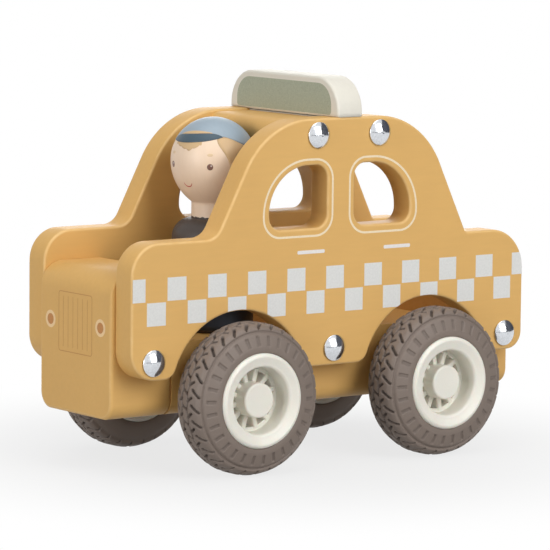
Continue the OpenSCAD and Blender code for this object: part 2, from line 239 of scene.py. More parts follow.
def fill(loops: Sequence[Array], height: float, place: Place) -> Patch:
    """Flat face between an outer loop and the loops of its holes.

    Args:
        loops: The outer loop and the holes, in the flat plane.
        height: Height of the face above that plane.
        place: Puts flat points and heights in space.

    Returns:
        The face as triangles.
    """
    triangles = tessellate_polygon([np.pad(loop, ((0, 0), (0, 1))).tolist() for loop in loops])
    flat = np.concatenate(loops)
    return Patch(place(flat, np.full(len(flat), height)), np.array(triangles), False)


def slab(loops: Sequence[Array], thickness: float, rounding: float, place: Place,
         steps: int = 7) -> list[Patch]:
    """Board with rounded edges: two quarter rounds and a straight side are carried along each loop.

    Args:
        loops: The outer loop and the holes, with the material on their left.
        thickness: Thickness of the board.
        rounding: Radius of its edges.
        place: Puts flat points and heights in space.
        steps: Points on each quarter round.

    Returns:
        The rims of all loops and the two faces.
    """
    angle = np.linspace(0, np.pi / 2, steps)
    shelf = rounding + SHELF
    inward = rounding * (1 - np.sin(angle))
    upward = rounding * (1 - np.cos(angle))
    depth = np.concatenate([[shelf], inward, inward[::-1], [shelf]])
    height = np.concatenate([[0], upward, thickness - upward[::-1], [thickness]])
    # Weight of the lighter edge colour (worn paint and painted highlight), highest in the middle of each
    # round
    wear_highlight = np.concatenate([[0], np.sin(2 * angle), np.sin(2 * angle), [0]])
    rims = [np.stack([closed(inset(loop, d)) for d in depth]) for loop in loops]
    sides = [grid(place(rim, np.broadcast_to(height[:, None], rim.shape[:2])), wear_highlight) for rim in rims]
    borders = [inset(loop, shelf) for loop in loops]
    return [*sides, fill(borders, 0, place), fill(borders, thickness, place)]


def print_of(loops: Sequence[Array], place: Place) -> list[Patch]:
    """Printed shape: a film of ink as thick as it is sunk, with upright borders along each loop.

    Args:
        loops: The outer loop and the holes.
        place: Puts flat points and heights in space.

    Returns:
        The borders and the two faces of the film.
    """
    heights = np.array([-FILM, FILM])
    rims = [np.stack([closed(loop)] * 2) for loop in loops]
    levels = [np.broadcast_to(heights[:, None], rim.shape[:2]) for rim in rims]
    sides = [grid(place(rim, level), smooth=False) for rim, level in zip(rims, levels)]
    return [*sides, *(fill(loops, height, place) for height in heights)]


def along_y(face: float, side: Side) -> Place:
    """Places flat X and Z on a face whose outward direction is along Y."""
    return lambda flat, height: np.stack([flat[..., 0], side.value * (face + height), flat[..., 1]], axis=-1)


def along_x(face: float, end: End) -> Place:
    """Places flat Y and Z on a face whose outward direction is along X."""
    return lambda flat, height: np.stack([face + end.value * height, flat[..., 0], flat[..., 1]], axis=-1)


def lathe(line: Array, steps: int) -> Array:
    """Turns a profile about the Z axis: each point of the profile becomes a full circle of its radius.

    Args:
        line: Radius and height of the profile's points.
        steps: Points on each circle.

    Returns:
        Grid of points, whose last column meets the first.
    """
    angle = np.linspace(0, TURN, steps + 1)
    radius, height = line.T
    return np.stack([np.outer(radius, np.cos(angle)), np.outer(radius, np.sin(angle)),
                     np.repeat(height[:, None], steps + 1, axis=1)], axis=-1)


def resample(points: Sequence[Sequence[float]], step: float) -> Array:
    """Puts points at even distances along a bent line, keeping its two ends.

    Args:
        points: Corners of the line.
        step: Wanted distance between points.

    Returns:
        The even points.
    """
    line = np.asarray(points, float)
    run = np.concatenate([[0], np.cumsum(np.linalg.norm(np.diff(line, axis=0), axis=1))])
    even = np.linspace(0, run[-1], max(2, int(round(run[-1] / step)) + 1))
    return np.column_stack([np.interp(even, run, line[:, i]) for i in range(line.shape[1])])


def soften(line: Array, passes: int) -> Array:
    """Rounds the bends of a line: each inner point moves halfway to the middle of its two neighbours.

    Args:
        line: Points of the line.
        passes: How often this is done.

    Returns:
        The softer line with the same ends.
    """
    for _ in range(passes):
        middle = (line[:-2] + 2 * line[1:-1] + line[2:]) / 4
        line = np.concatenate([line[:1], middle, line[-1:]])
    return line


def ramp(value: Array, low: float, high: float) -> Array:
    """Rises smoothly from 0 at low to 1 at high."""
    t = np.clip((value - low) / (high - low), 0, 1)
    return t * t * (3 - 2 * t)


def band(value: Array, half: float, soft: float) -> Array:
    """One inside a band of the given half width and zero outside, with soft borders."""
    return 1 - ramp(np.abs(value), half - soft, half + soft)


def make_piece(name: str, patches: Sequence[Patch], material: Material, body: str,
               replaces: Sequence[str] = ()) -> None:
    """Makes one piece from its patches, welds it, and ties it to its body.

    Args:
        name: Name of the piece.
        patches: Its surfaces in millimetres.
        material: Its finish.
        body: Body that it rides on.
        replaces: Nodes that it stands for.
    """
    counts = [len(p.points) for p in patches]
    starts = np.cumsum([0, *counts[:-1]])
    points = np.concatenate([p.points for p in patches]) * MM
    corners = np.concatenate([(p.faces + s).ravel() for p, s in zip(patches, starts)])
    sizes = np.concatenate([np.full(len(p.faces), p.faces.shape[1]) for p in patches])
    smooth = np.concatenate([np.full(len(p.faces), p.smooth) for p in patches])
    edge = np.concatenate([np.zeros(n) if p.edge is None else p.edge for p, n in zip(patches, counts)])

    mesh = bpy.data.meshes.new(name)
    mesh.vertices.add(len(points))
    mesh.vertices.foreach_set("co", points.astype(np.float32).ravel())
    mesh.loops.add(len(corners))
    mesh.loops.foreach_set("vertex_index", corners.astype(np.int32))
    mesh.polygons.add(len(sizes))
    mesh.polygons.foreach_set("loop_start", (np.cumsum(sizes) - sizes).astype(np.int32))
    mesh.polygons.foreach_set("use_smooth", smooth)
    mesh.attributes.new(EDGE, "FLOAT", "POINT").data.foreach_set("value", edge.astype(np.float32))
    mesh.update(calc_edges=True)

    work = bmesh.new()
    work.from_mesh(mesh)
    bmesh.ops.remove_doubles(work, verts=work.verts, dist=WELD)
    bmesh.ops.recalc_face_normals(work, faces=work.faces)
    work.to_mesh(mesh)
    work.free()

    piece = bpy.data.objects.new(name, mesh)
    bpy.context.scene.collection.objects.link(piece)
    mesh.materials.append(material)
    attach(piece, body)
    if replaces:
        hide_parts(*replaces)
    LOG.info("%s: %d faces on %s", name, len(mesh.polygons), body)


# Finishes


def linear(colour: Colour) -> tuple[float, float, float, float]:
    """Turns a display colour from 0 to 255 into the linear values that a shader takes.

    Args:
        colour: Red, green and blue as the display shows them.

    Returns:
        Linear red, green and blue, and full cover.
    """
    c = np.asarray(colour) / 255
    bend = ((c + CURVE_SHIFT) / (1 + CURVE_SHIFT)) ** CURVE_POWER
    return (*np.where(c <= CURVE_FOOT, c / CURVE_SLOPE, bend).tolist(), 1.0)


def shade(colour: Colour, factor: float) -> Colour:
    """A lighter or darker version of a display colour."""
    return tuple(int(min(255, round(c * factor))) for c in colour)


class Wiring:
    """A node tree, and short ways to add and join nodes."""

    def __init__(self, tree: bpy.types.NodeTree) -> None:
        """Keeps the tree."""
        self.tree = tree

    def put(self, value: object, socket: Socket) -> None:
        """Gives an input its value.

        Args:
            value: Output to join to the input, or a fixed value.
            socket: The input.
        """
        if isinstance(value, bpy.types.NodeSocket):
            self.tree.links.new(value, socket)
        else:
            socket.default_value = value

    def node(self, kind: str, **inputs: object) -> bpy.types.Node:
        """Adds a node and sets or joins its inputs.

        Args:
            kind: Type of the node.
            inputs: Values or sockets by the input's name, with underscores for blanks.

        Returns:
            The new node.
        """
        made = self.tree.nodes.new(kind)
        for name, value in inputs.items():
            self.put(value, made.inputs[name.replace("_", " ")])
        return made

    def math(self, operation: str, first: object, second: object) -> Socket:
        """Works out one value from two.

        Args:
            operation: Name of the operation.
            first: First value or socket.
            second: Second value or socket.

        Returns:
            The result.
        """
        made = self.node("ShaderNodeMath")
        made.operation = operation
        for value, socket in zip((first, second), made.inputs):
            self.put(value, socket)
        return made.outputs["Value"]


class Bench(Wiring):
    """A new material with a principled shader."""

    def __init__(self, name: str) -> None:
        """Makes the material and finds its shader.

        Args:
            name: Name of the material.
        """
        self.material = bpy.data.materials.new(name)
        self.material.use_nodes = True
        super().__init__(self.material.node_tree)
        self.shader = self.tree.nodes["Principled BSDF"]
        self.place = self.node("ShaderNodeTexCoord").outputs["Object"]

    def noise(self, scale: float, stretch: Sequence[float] = (1, 1, 1), detail: float = 3) -> Socket:
        """Noise on the object's own coordinates.

        Args:
            scale: Bumps per metre.
            stretch: Factors of the scale along the axes.
            detail: How many finer noises are added.

        Returns:
            The value of the noise.
        """
        spot = self.node("ShaderNodeMapping", Vector=self.place, Scale=tuple(stretch))
        made = self.node("ShaderNodeTexNoise", Vector=spot.outputs["Vector"], Scale=scale, Detail=detail)
        return made.outputs["Fac"]

    def tones(self, value: Socket, colour: Colour, spread: Point) -> Socket:
        """Colour that varies between two versions of one tone.

        Args:
            value: Noise that it follows.
            colour: The tone.
            spread: Factors of the darkest and the lightest version.

        Returns:
            The colour.
        """
        made = self.node("ShaderNodeValToRGB", Fac=value)
        for point, at, factor in zip(made.color_ramp.elements, NOISE_RANGE, spread):
            point.position = at
            point.color = linear(shade(colour, factor))
        return made.outputs["Color"]

    def scaled(self, value: Socket, low: float, high: float) -> Socket:
        """Maps the middle range of a noise to another range.

        Args:
            value: The noise.
            low: Lower end of the range.
            high: Upper end of the range.

        Returns:
            The mapped value.
        """
        made = self.node("ShaderNodeMapRange", Value=value, From_Min=NOISE_RANGE[0], From_Max=NOISE_RANGE[1],
                         To_Min=low, To_Max=high)
        return made.outputs["Result"]

    def edge(self) -> Socket:
        """How far each point lies on an edge or is pressed in, as the piece's own attribute says.

        Returns:
            The value from 0 to 1.
        """
        made = self.node("ShaderNodeAttribute")
        made.attribute_name = EDGE
        return made.outputs["Fac"]

    def mix(self, share: object, first: object, second: object) -> Socket:
        """Mixes two colours.

        Args:
            share: Share of the second colour.
            first: Colour at a share of 0.
            second: Colour at a share of 1.

        Returns:
            The mixed colour.
        """
        made = self.node("ShaderNodeMix")
        made.data_type = "RGBA"
        for number, value in zip(MIX_INPUTS, (share, first, second)):
            self.put(value, made.inputs[number])
        return made.outputs[MIX_RESULT]

    def partly(self, value: Socket, most: float) -> Socket:
        """Scales a value from 0 to 1 down to a highest value."""
        return self.node("ShaderNodeMapRange", Value=value, To_Max=most).outputs["Result"]

    def sheen(self, noise: Socket, middle: float, spread: float) -> Socket:
        """Roughness that varies by a spread to both sides of its middle value."""
        return self.scaled(noise, middle - spread, middle + spread)

    def finish(self, colour: Socket, roughness: Socket, relief: Socket, depth: float,
               **fixed: object) -> Material:
        """Joins colour, roughness and relief to the shader.

        Args:
            colour: Colour of the surface.
            roughness: Roughness of the surface.
            relief: Height of the fine relief.
            depth: Height of the relief in millimetres.
            fixed: Other inputs of the shader that are the same all over.

        Returns:
            The finished material.
        """
        bump = self.node("ShaderNodeBump", Height=relief, Distance=depth * MM, Strength=1.0)
        inputs = {"Base_Color": colour, "Roughness": roughness, "Normal": bump.outputs["Normal"], **fixed}
        for name, value in inputs.items():
            self.put(value, self.shader.inputs[name.replace("_", " ")])
        return self.material


@dataclass(frozen=True)
class PaintedWood:
    """Matt paint over wood: faint grain under the paint, soft clouds, and lighter edges that are part worn
    paint and part painted highlight.
    """

    name: str
    colour: Colour
    roughness: float = 0.52
    grain: tuple[float, float, float] = (0.12, 1, 1)
    # Colour of the lighter edges: paint worn thin there, plus a painted highlight along the rounding
    wear_highlight_colour: Colour = (238, 206, 152)
    wear_highlight: float = 0.45
    fibre_scale: float = 700
    fibre_detail: float = 5
    fibre_spread: Point = (0.985, 1.012)
    cloud_scale: float = 45
    cloud_detail: float = 2
    cloud_spread: Point = (0.985, 1.015)
    edge_patch_scale: float = 320
    edge_patch_range: Point = (0.4, 1.0)
    sheen_scale: float = 900
    sheen: float = 0.05
    relief: float = 0.008
    gloss: float = 0.4

    def material(self) -> Material:
        """Builds the paint.

        Returns:
            The material.
        """
        bench = Bench(self.name)
        fibre = bench.noise(self.fibre_scale, self.grain, self.fibre_detail)
        cloud = bench.noise(self.cloud_scale, detail=self.cloud_detail)
        paint = bench.mix(0.5, bench.tones(fibre, self.colour, self.fibre_spread),
                          bench.tones(cloud, self.colour, self.cloud_spread))
        # Lighter edges in patches: worn paint, plus a painted highlight along the rounded edges
        patchy = bench.scaled(bench.noise(self.edge_patch_scale), *self.edge_patch_range)
        wear_highlight_mask = bench.math("MULTIPLY", patchy, bench.edge())
        worn_and_lit = bench.mix(bench.partly(wear_highlight_mask, self.wear_highlight), paint, linear(self.wear_highlight_colour))
        rough = bench.sheen(bench.noise(self.sheen_scale), self.roughness, self.sheen)
        return bench.finish(worn_and_lit, rough, fibre, self.relief, Specular_IOR_Level=self.gloss)


@dataclass(frozen=True)
class Ink:
    """Printed ink: a thin film whose tone varies a little with the ground below it."""

    name: str
    colour: Colour
    speckle: float = 0.02
    roughness: float = 0.5
    dot_scale: float = 1400
    dot_detail: float = 4
    sheen_scale: float = 600
    sheen: float = 0.05
    relief: float = 0.004

    def material(self) -> Material:
        """Builds the ink.

        Returns:
            The material.
        """
        bench = Bench(self.name)
        dots = bench.noise(self.dot_scale, detail=self.dot_detail)
        tone = bench.tones(dots, self.colour, (1 - self.speckle, 1 + self.speckle))
        rough = bench.sheen(bench.noise(self.sheen_scale), self.roughness, self.sheen)
        return bench.finish(tone, rough, dots, self.relief)


@dataclass(frozen=True)
class Moulding:
    """Moulded plastic or rubber: an even body colour with fine speckle, and a skin with fine relief."""

    name: str
    colour: Colour
    roughness: float
    speckle: float
    relief: float
    # Share and tone of the painted shade in pressed-in grooves
    groove_shade: float = 0.0
    groove_shade_tone: float = 0.3
    glow: float = 0.0
    glow_depth: float = 0.003
    dust_scale: float = 160
    grit_scale: float = 2200
    grit_detail: float = 4
    sheen: float = 0.06

    def material(self) -> Material:
        """Builds the moulded skin, with painted shade where the surface is pressed in.

        Returns:
            The material.
        """
        bench = Bench(self.name)
        dust = bench.noise(self.dust_scale)
        fine = bench.noise(self.grit_scale, detail=self.grit_detail)
        spread = (1 - self.speckle, 1 + self.speckle)
        even = bench.mix(0.5, bench.tones(dust, self.colour, spread), bench.tones(fine, self.colour, spread))
        # Painted shade: the grooves get a darker copy of the colour by their depth
        deep = linear(shade(self.colour, self.groove_shade_tone))
        tone = bench.mix(bench.partly(bench.edge(), self.groove_shade), even, deep)
        rough = bench.sheen(dust, self.roughness, self.sheen)
        return bench.finish(tone, rough, fine, self.relief, Subsurface_Weight=self.glow,
                            Subsurface_Scale=self.glow_depth)


@dataclass(frozen=True)
class Metal:
    """Bare or plated metal with fine marks in one direction."""

    name: str
    colour: Colour
    roughness: float
    marks: tuple[float, float, float] = (1, 1, 1)
    relief: float = 0.002
    mark_scale: float = 1500
    spread: Point = (0.96, 1.02)
    sheen: Point = (0.7, 1.3)

    def material(self) -> Material:
        """Builds the metal.

        Returns:
            The material.
        """
        bench = Bench(self.name)
        fine = bench.noise(self.mark_scale, self.marks)
        tone = bench.tones(fine, self.colour, self.spread)
        rough = bench.scaled(fine, self.roughness * self.sheen[0], self.roughness * self.sheen[1])
        return bench.finish(tone, rough, fine, self.relief, Metallic=1.0)


def doll_paint(name: str, colour: Colour, roughness: float = 0.42) -> PaintedWood:
    """Paint on the doll's turned wood, without the lighter edges of worn paint and painted highlight."""
    return PaintedWood(f"doll_{name}_paint", colour, roughness, (1, 1, 0.3), wear_highlight=0)


@dataclass(frozen=True)
class Palette:
    """All finishes of the toy."""

    yellow: PaintedWood = PaintedWood("yellow_paint_on_wood", (218, 173, 102))
    # The cream sign's edges lighten to a paler cream: worn paint and painted highlight
    sign: PaintedWood = PaintedWood("cream_paint_on_wood", (225, 221, 209), grain=(1, 0.12, 1),
                                    wear_highlight_colour=(228, 223, 211))
    sign_panel: Ink = Ink("grey_green_print", (163, 169, 149), speckle=0.06, dot_scale=2600)
    check: Ink = Ink("pale_grey_print", (219, 219, 216))
    outline: Ink = Ink("cream_line_print", (237, 219, 186))
    handle: Ink = Ink("white_line_print", (230, 226, 222))
    lamp_ring: Ink = Ink("lamp_ring_print", (238, 204, 154))
    lamp_dot: Ink = Ink("lamp_dot_print", (192, 130, 68), speckle=0.04)
    grille: Ink = Ink("grille_line_print", (196, 142, 74))
    hub: Moulding = Moulding("cream_moulded_hub", (232, 229, 218), 0.42, 0.012, 0.004, glow=0.12)
    # The tyre's grooves are darkened as painted shade
    tyre: Moulding = Moulding("brown_grey_rubber", (120, 107, 98), 0.6, 0.02, 0.012, groove_shade=0.55)
    chrome: Metal = Metal("bolt_chrome", (216, 219, 223), 0.15, relief=0.0005)
    steel: Metal = Metal("axle_steel_rod", (170, 170, 172), 0.34, (1, 0.05, 1), 0.01)
    skin: PaintedWood = doll_paint("skin", (240, 215, 190))
    cap: PaintedWood = doll_paint("cap", (151, 167, 179))
    brim: PaintedWood = doll_paint("brim", (64, 83, 95))
    hair: PaintedWood = PaintedWood("doll_hair_paint", (208, 176, 133), 0.45, (1, 1, 0.2), wear_highlight=0)
    eye: Ink = Ink("doll_eye_paint", (122, 84, 70), roughness=0.35)
    glint: Ink = Ink("doll_eye_glint_paint", (206, 190, 180), roughness=0.35)
    brow: Ink = Ink("doll_brow_paint", (230, 202, 164), speckle=0.03)
    mouth: Ink = Ink("doll_mouth_paint", (196, 88, 76))
    jacket: PaintedWood = doll_paint("jacket", (70, 61, 56), 0.5)
    trousers: PaintedWood = doll_paint("trousers", (45, 56, 72), 0.5)

    def mix_all(self) -> Finishes:
        """Builds every finish once, by its name in the palette."""
        return {entry.name: getattr(self, entry.name).material() for entry in fields(self)}


# Body of the car


@dataclass(frozen=True)
class SidePanel:
    """Outline of the two side panels, with the arches and the windows."""

    front: float = 85.6
    rear: float = -85.4
    bottom: float = 34.4
    hood: float = 81.2
    deck: float = 78.1
    roof: float = 121.0
    inside: float = 22.0
    thickness: float = 10.0
    rounding: float = 0.9
    screen_foot: float = 50.7
    screen_angle: float = 62.4
    back_foot: float = -58.7
    back_angle: float = 64.4
    dome: float = 31.0
    front_low: float = 10.0
    front_top: float = 11.0
    rear_top: float = 14.4
    rear_low: float = 6.2
    hood_fillet: float = 7.0
    deck_fillet: float = 1.4
    fine_step: float = 0.3
    lobe: float = 5.0
    axles: Point = (40.5, -41.5)
    arch_height: float = 27.8
    arch: float = 28.3
    post: float = -2.4
    post_width: float = 11.8
    window_length: float = 24.8
    sill: float = 83.0
    head: float = 104.8
    corner: float = 4.7
    sweep: float = 16.6

    @property
    def outside(self) -> float:
        """Distance of the outer face from the middle of the car."""
        return self.inside + self.thickness

    def arch_line(self, x: float) -> list[Array]:
        """A wheel arch with the rounded feet on both sides, from the rear to the front.

        Args:
            x: Place of the axle.

        Returns:
            The three arcs, which touch each other.
        """
        level = self.bottom + self.lobe
        tilt = np.degrees(np.arcsin((level - self.arch_height) / (self.arch + self.lobe)))
        run = (self.arch + self.lobe) * np.cos(np.radians(tilt))
        return [arc((x - run, level), self.lobe, -90, -tilt),
                arc((x, self.arch_height), self.arch, 180 - tilt, tilt),
                arc((x + run, level), self.lobe, 180 + tilt, 270)]

    def outline(self) -> Array:
        """Outer loop, anticlockwise in X and Z: straight sides between arcs that touch them.

        Returns:
            The loop.
        """
        screen, back = np.radians(self.screen_angle), np.radians(self.back_angle)
        dome_z = self.roof - self.dome
        dome_front = self.screen_foot - (dome_z - self.hood) / np.tan(screen) - self.dome / np.sin(screen)
        dome_rear = self.back_foot + (dome_z - self.deck) / np.tan(back) + self.dome / np.sin(back)
        hood_x = self.screen_foot + self.hood_fillet * np.tan(screen / 2)
        deck_x = self.back_foot - self.deck_fillet * np.tan(back / 2)
        return loop_of(
            arc((self.rear + self.rear_low, self.bottom + self.rear_low), self.rear_low, 180, 270),
            *self.arch_line(self.axles[1]), *self.arch_line(self.axles[0]),
            arc((self.front - self.front_low, self.bottom + self.front_low), self.front_low, 270, 360),
            arc((self.front - self.front_top, self.hood - self.front_top), self.front_top, 0, 90),
            arc((hood_x, self.hood + self.hood_fillet), self.hood_fillet, 270, 270 - self.screen_angle),
            arc((dome_front, dome_z), self.dome, 90 - self.screen_angle, 90),
            arc((dome_rear, dome_z), self.dome, 90, 90 + self.back_angle),
            arc((deck_x, self.deck + self.deck_fillet), self.deck_fillet, self.back_angle - 90, -90,
                self.fine_step),
            arc((self.rear + self.rear_top, self.deck - self.rear_top), self.rear_top, 90, 180))

    def window(self, end: End) -> Array:
        """Loop of one window, clockwise in X and Z: three small corners and one large sweep.

        Args:
            end: Front or rear window; the rear one is mirrored about the post.

        Returns:
            The loop.
        """
        r, sweep = self.corner, self.sweep
        x0 = self.post + self.post_width / 2
        x1 = x0 + self.window_length
        loop = loop_of(arc((x0 + r, self.sill + r), r, 180, 270), arc((x1 - r, self.sill + r), r, 270, 360),
                       arc((x1 - sweep, self.head - sweep), sweep, 0, 90),
                       arc((x0 + r, self.head - r), r, 90, 180))
        if end is End.FRONT:
            return loop[::-1]
        return np.column_stack([2 * self.post - loop[:, 0], loop[:, 1]])

    def build(self, side: Side, paint: Material) -> None:
        """Builds one panel in place of its node.

        Args:
            side: Side of the panel.
            paint: Its finish.
        """
        loops = [self.outline(), self.window(End.FRONT), self.window(End.REAR)]
        patches = slab(loops, self.thickness, self.rounding, along_y(self.inside, side))
        name = f"{side.name.lower()}_panel"
        make_piece(f"{name}_board", patches, paint, "taxi_body", [name])


@dataclass(frozen=True)
class PanelPrint:
    """Print on the outer face of a side panel: check band, lines round the windows and door handles."""

    panel: SidePanel
    pitch: float = 8.4
    row_pitch: float = 8.32
    first: float = 83.88
    upper_row: float = 65.38
    check: Point = (7.75, 7.95)
    check_grid: tuple[int, int] = (9, 15)
    bleed: float = 0.4
    line_offset: float = 2.4
    line_width: float = 0.75
    line_shift: Point = (0.25, -0.35)
    handle_size: Point = (11.8, 1.25)
    handle_round: float = 0.45
    handle_step: float = 0.1
    handles: Point = (10.45, -27.35)
    handle_height: float = 74.7

    def square(self, column: int) -> Array:
        """One check as a flat grid over its width and height.

        Its lower border stops at the wheel arches and its upper border at the rounded rear corner.

        Args:
            column: Number of the check, from the front.

        Returns:
            Grid of X and Z.
        """
        p, bleed = self.panel, self.bleed
        rows, columns = self.check_grid
        half_length, half_height = self.check[0] / 2, self.check[1] / 2
        centre = self.first - column * self.pitch
        level = self.upper_row - (column % 2) * self.row_pitch
        rear = max(centre - half_length, p.rear + bleed)
        front = min(centre + half_length, p.front - bleed)
        x = np.linspace(rear, front, columns)
        arches = [np.sqrt(np.clip((p.arch + bleed) ** 2 - (x - axle) ** 2, 0, None)) for axle in p.axles]
        bottom = np.maximum(np.maximum(*arches) + p.arch_height, level - half_height)
        bend = np.clip(p.rear + p.rear_top - x, 0, p.rear_top - bleed)
        corner = p.deck - p.rear_top + np.sqrt((p.rear_top - bleed) ** 2 - bend ** 2)
        top = np.minimum(corner, level + half_height)
        share = np.linspace(0, 1, rows)[:, None]
        return np.stack([np.broadcast_to(x, (rows, columns)), bottom + share * (top - bottom)], axis=-1)

    def squares(self, place: Place) -> list[Patch]:
        """All checks of one side.

        Args:
            place: Puts flat points and heights in space.

        Returns:
            The films of ink.
        """
        patches: list[Patch] = []
        for column in range(int((self.panel.front - self.panel.rear) / self.pitch) + 1):
            flat = self.square(column)
            outer, inner = (place(flat, np.full(self.check_grid, height)) for height in (FILM, -FILM))
            patches += skin(outer, inner, smooth=False)
        return patches

    def lines(self, place: Place) -> list[Patch]:
        """A narrow line round both windows: the window's loop moved outwards by two distances.

        Args:
            place: Puts flat points and heights in space.

        Returns:
            The films of ink.
        """
        patches: list[Patch] = []
        for end in End:
            loop = self.panel.window(end) + np.array([self.line_shift[0] * end.value, self.line_shift[1]])
            inner = inset(loop, self.line_offset - self.line_width / 2)
            outer = inset(loop, self.line_offset + self.line_width / 2)
            patches += print_of([outer, inner], place)
        return patches

    def bars(self, place: Place) -> list[Patch]:
        """The two door handles.

        Args:
            place: Puts flat points and heights in space.

        Returns:
            The films of ink.
        """
        half = np.array(self.handle_size) / 2
        patches: list[Patch] = []
        for x in self.handles:
            centre = np.array([x, self.handle_height])
            loop = rounded_box(centre - half, centre + half, self.handle_round, self.handle_step)
            patches += print_of([loop], place)
        return patches

    def build(self, side: Side, finish: Finishes) -> None:
        """Builds all print of one side.

        Args:
            side: Side of the panel.
            finish: The mixed finishes by name.
        """
        place = along_y(self.panel.outside, side)
        prints = (("check_band", self.squares(place), "check"),
                  ("window_lines", self.lines(place), "outline"),
                  ("door_handles", self.bars(place), "handle"))
        for label, patches, ink in prints:
            make_piece(f"{side.name.lower()}_{label}", patches, finish[ink], "taxi_body")


@dataclass(frozen=True)
class EndBlock:
    """Nose or tail block: a section with round lower edges, carried along X under a falling top."""

    end: End
    node: str
    top: float
    tip: float = 87.1
    depth: float = 25.0
    half_width: float = 22.0
    underside: float = 20.0
    lower_round: float = 5.5
    lower_step: float = 0.6
    upper_round: float = 8.5
    upper_steps: int = 24
    corner: float = 0.8
    corner_step: float = 0.3
    rounding: float = 1.2
    rounding_steps: int = 6
    border: float = 0.6
    back_fall: float = 0.6

    def section(self, inward: float, top: float) -> Array:
        """Loop of the block across the car: a box with large lower and small upper corners.

        Args:
            inward: How far the sides and the underside are drawn in.
            top: Height of the upper side.

        Returns:
            The loop in Y and Z.
        """
        w, low = self.half_width - inward, self.underside + inward
        big, small = self.lower_round - inward / 2, self.corner
        lower = [arc((big - w, low + big), big, 180, 270, self.lower_step),
                 arc((w - big, low + big), big, 270, 360, self.lower_step)]
        upper = [arc((w - small, top - small), small, 0, 90, self.corner_step),
                 arc((small - w, top - small), small, 90, 180, self.corner_step)]
        return np.concatenate(lower + upper)

    def stations(self) -> tuple[Array, Array, Array]:
        """Stations from the back, with rounded edges, to the tip, where the top falls along a quarter round.

        Returns:
            Place along X, how far the section is drawn in, and how far its top falls, for each station.
        """
        e = self.rounding
        fall = np.linspace(0, np.pi / 2, self.upper_steps)
        start = np.linspace(0, np.pi / 2, self.rounding_steps)
        back = self.tip - self.depth
        along = np.concatenate([[back], back + e * (1 - np.cos(start)),
                                self.tip - self.upper_round * (1 - np.sin(fall)), [self.tip]])
        drop = np.concatenate([np.zeros(1 + self.rounding_steps), self.upper_round * (1 - np.cos(fall)),
                               [self.upper_round]])
        near = np.clip(along - (self.tip - e), 0, e)
        inward = e - np.sqrt(e * e - near * near)
        rear = slice(1, 1 + self.rounding_steps)
        inward[rear] = e * (1 - np.sin(start))
        drop[rear] = self.back_fall * inward[rear]
        inward[[0, -1]] = e + self.border
        drop[0] = self.back_fall * e + self.border
        drop[-1] += self.border
        return along, inward, drop

    def build(self, paint: Material) -> None:
        """Builds the block in place of its node; its side and lower edges get the lighter colour of worn
        paint and painted highlight, its rounded top doesn't.

        Args:
            paint: Its finish.
        """
        along, inward, drop = self.stations()
        sections = [self.section(i, self.top - d) for i, d in zip(inward, drop)]
        count = min(len(section) for section in sections)
        rings = np.stack([closed(thinned(section, count)) for section in sections])
        # Where the lighter edges go: worn paint and painted highlight on the sides and lower edges, none on
        # the rounded top
        below = rings[..., 1] < rings[..., 1].max(axis=1, keepdims=True) - self.upper_round / 4
        before_tip = along < self.tip
        wear_highlight = (np.clip(inward / self.rounding, 0, 1) * before_tip)[:, None] * below
        place = along_x(0, self.end)
        solid = place(rings, np.repeat(along[:, None], count + 1, axis=1))
        caps = [fill([rings[i, :-1]], along[i], place) for i in (0, -1)]
        patches = [grid(solid, wear_highlight), *caps]
        make_piece(f"{self.node}_board", patches, paint, "taxi_body", [self.node])


@dataclass(frozen=True)
class NosePrint:
    """Print on the nose: two lamps and the grille."""

    face: float = 87.1
    lamp_place: float = 15.4
    lamp_height: float = 51.4
    lamp_step: float = 0.2
    ring: float = 3.05
    dot: float = 1.9
    grille_low: Point = (-10.4, 40.9)
    grille_high: Point = (10.4, 61.9)
    grille_round: float = 1.1
    line: float = 0.34
    bar: float = 0.24
    bar_round: float = 0.1
    bar_end: float = 1.7
    bars: int = 6

    def build(self, finish: Finishes) -> None:
        """Builds lamps and grille.

        Args:
            finish: The mixed finishes by name.
        """
        place = along_x(self.face, End.FRONT)
        rings: list[Patch] = []
        dots: list[Patch] = []
        for side in Side:
            centre = (side.value * self.lamp_place, self.lamp_height)
            circle = arc(centre, self.ring, 0, 360, self.lamp_step)[:-1]
            hole = arc(centre, self.dot, 360, 0, self.lamp_step)[:-1]
            rings += print_of([circle, hole], place)
            dots += print_of([hole[::-1]], place)
        border = rounded_box(self.grille_low, self.grille_high, self.grille_round)
        lines = print_of([border, inset(border, self.line)[::-1]], place)
        for y in np.linspace(self.grille_low[0], self.grille_high[0], self.bars + 2)[1:-1]:
            low = (y - self.bar / 2, self.grille_low[1] + self.bar_end)
            high = (y + self.bar / 2, self.grille_high[1] - self.bar_end)
            lines += print_of([rounded_box(low, high, self.bar_round, self.bar_round)], place)
        prints = (("lamp_rings", rings, "lamp_ring"), ("lamp_dots", dots, "lamp_dot"),
                  ("grille_lines", lines, "grille"))
        for name, patches, ink in prints:
            make_piece(name, patches, finish[ink], "taxi_body")


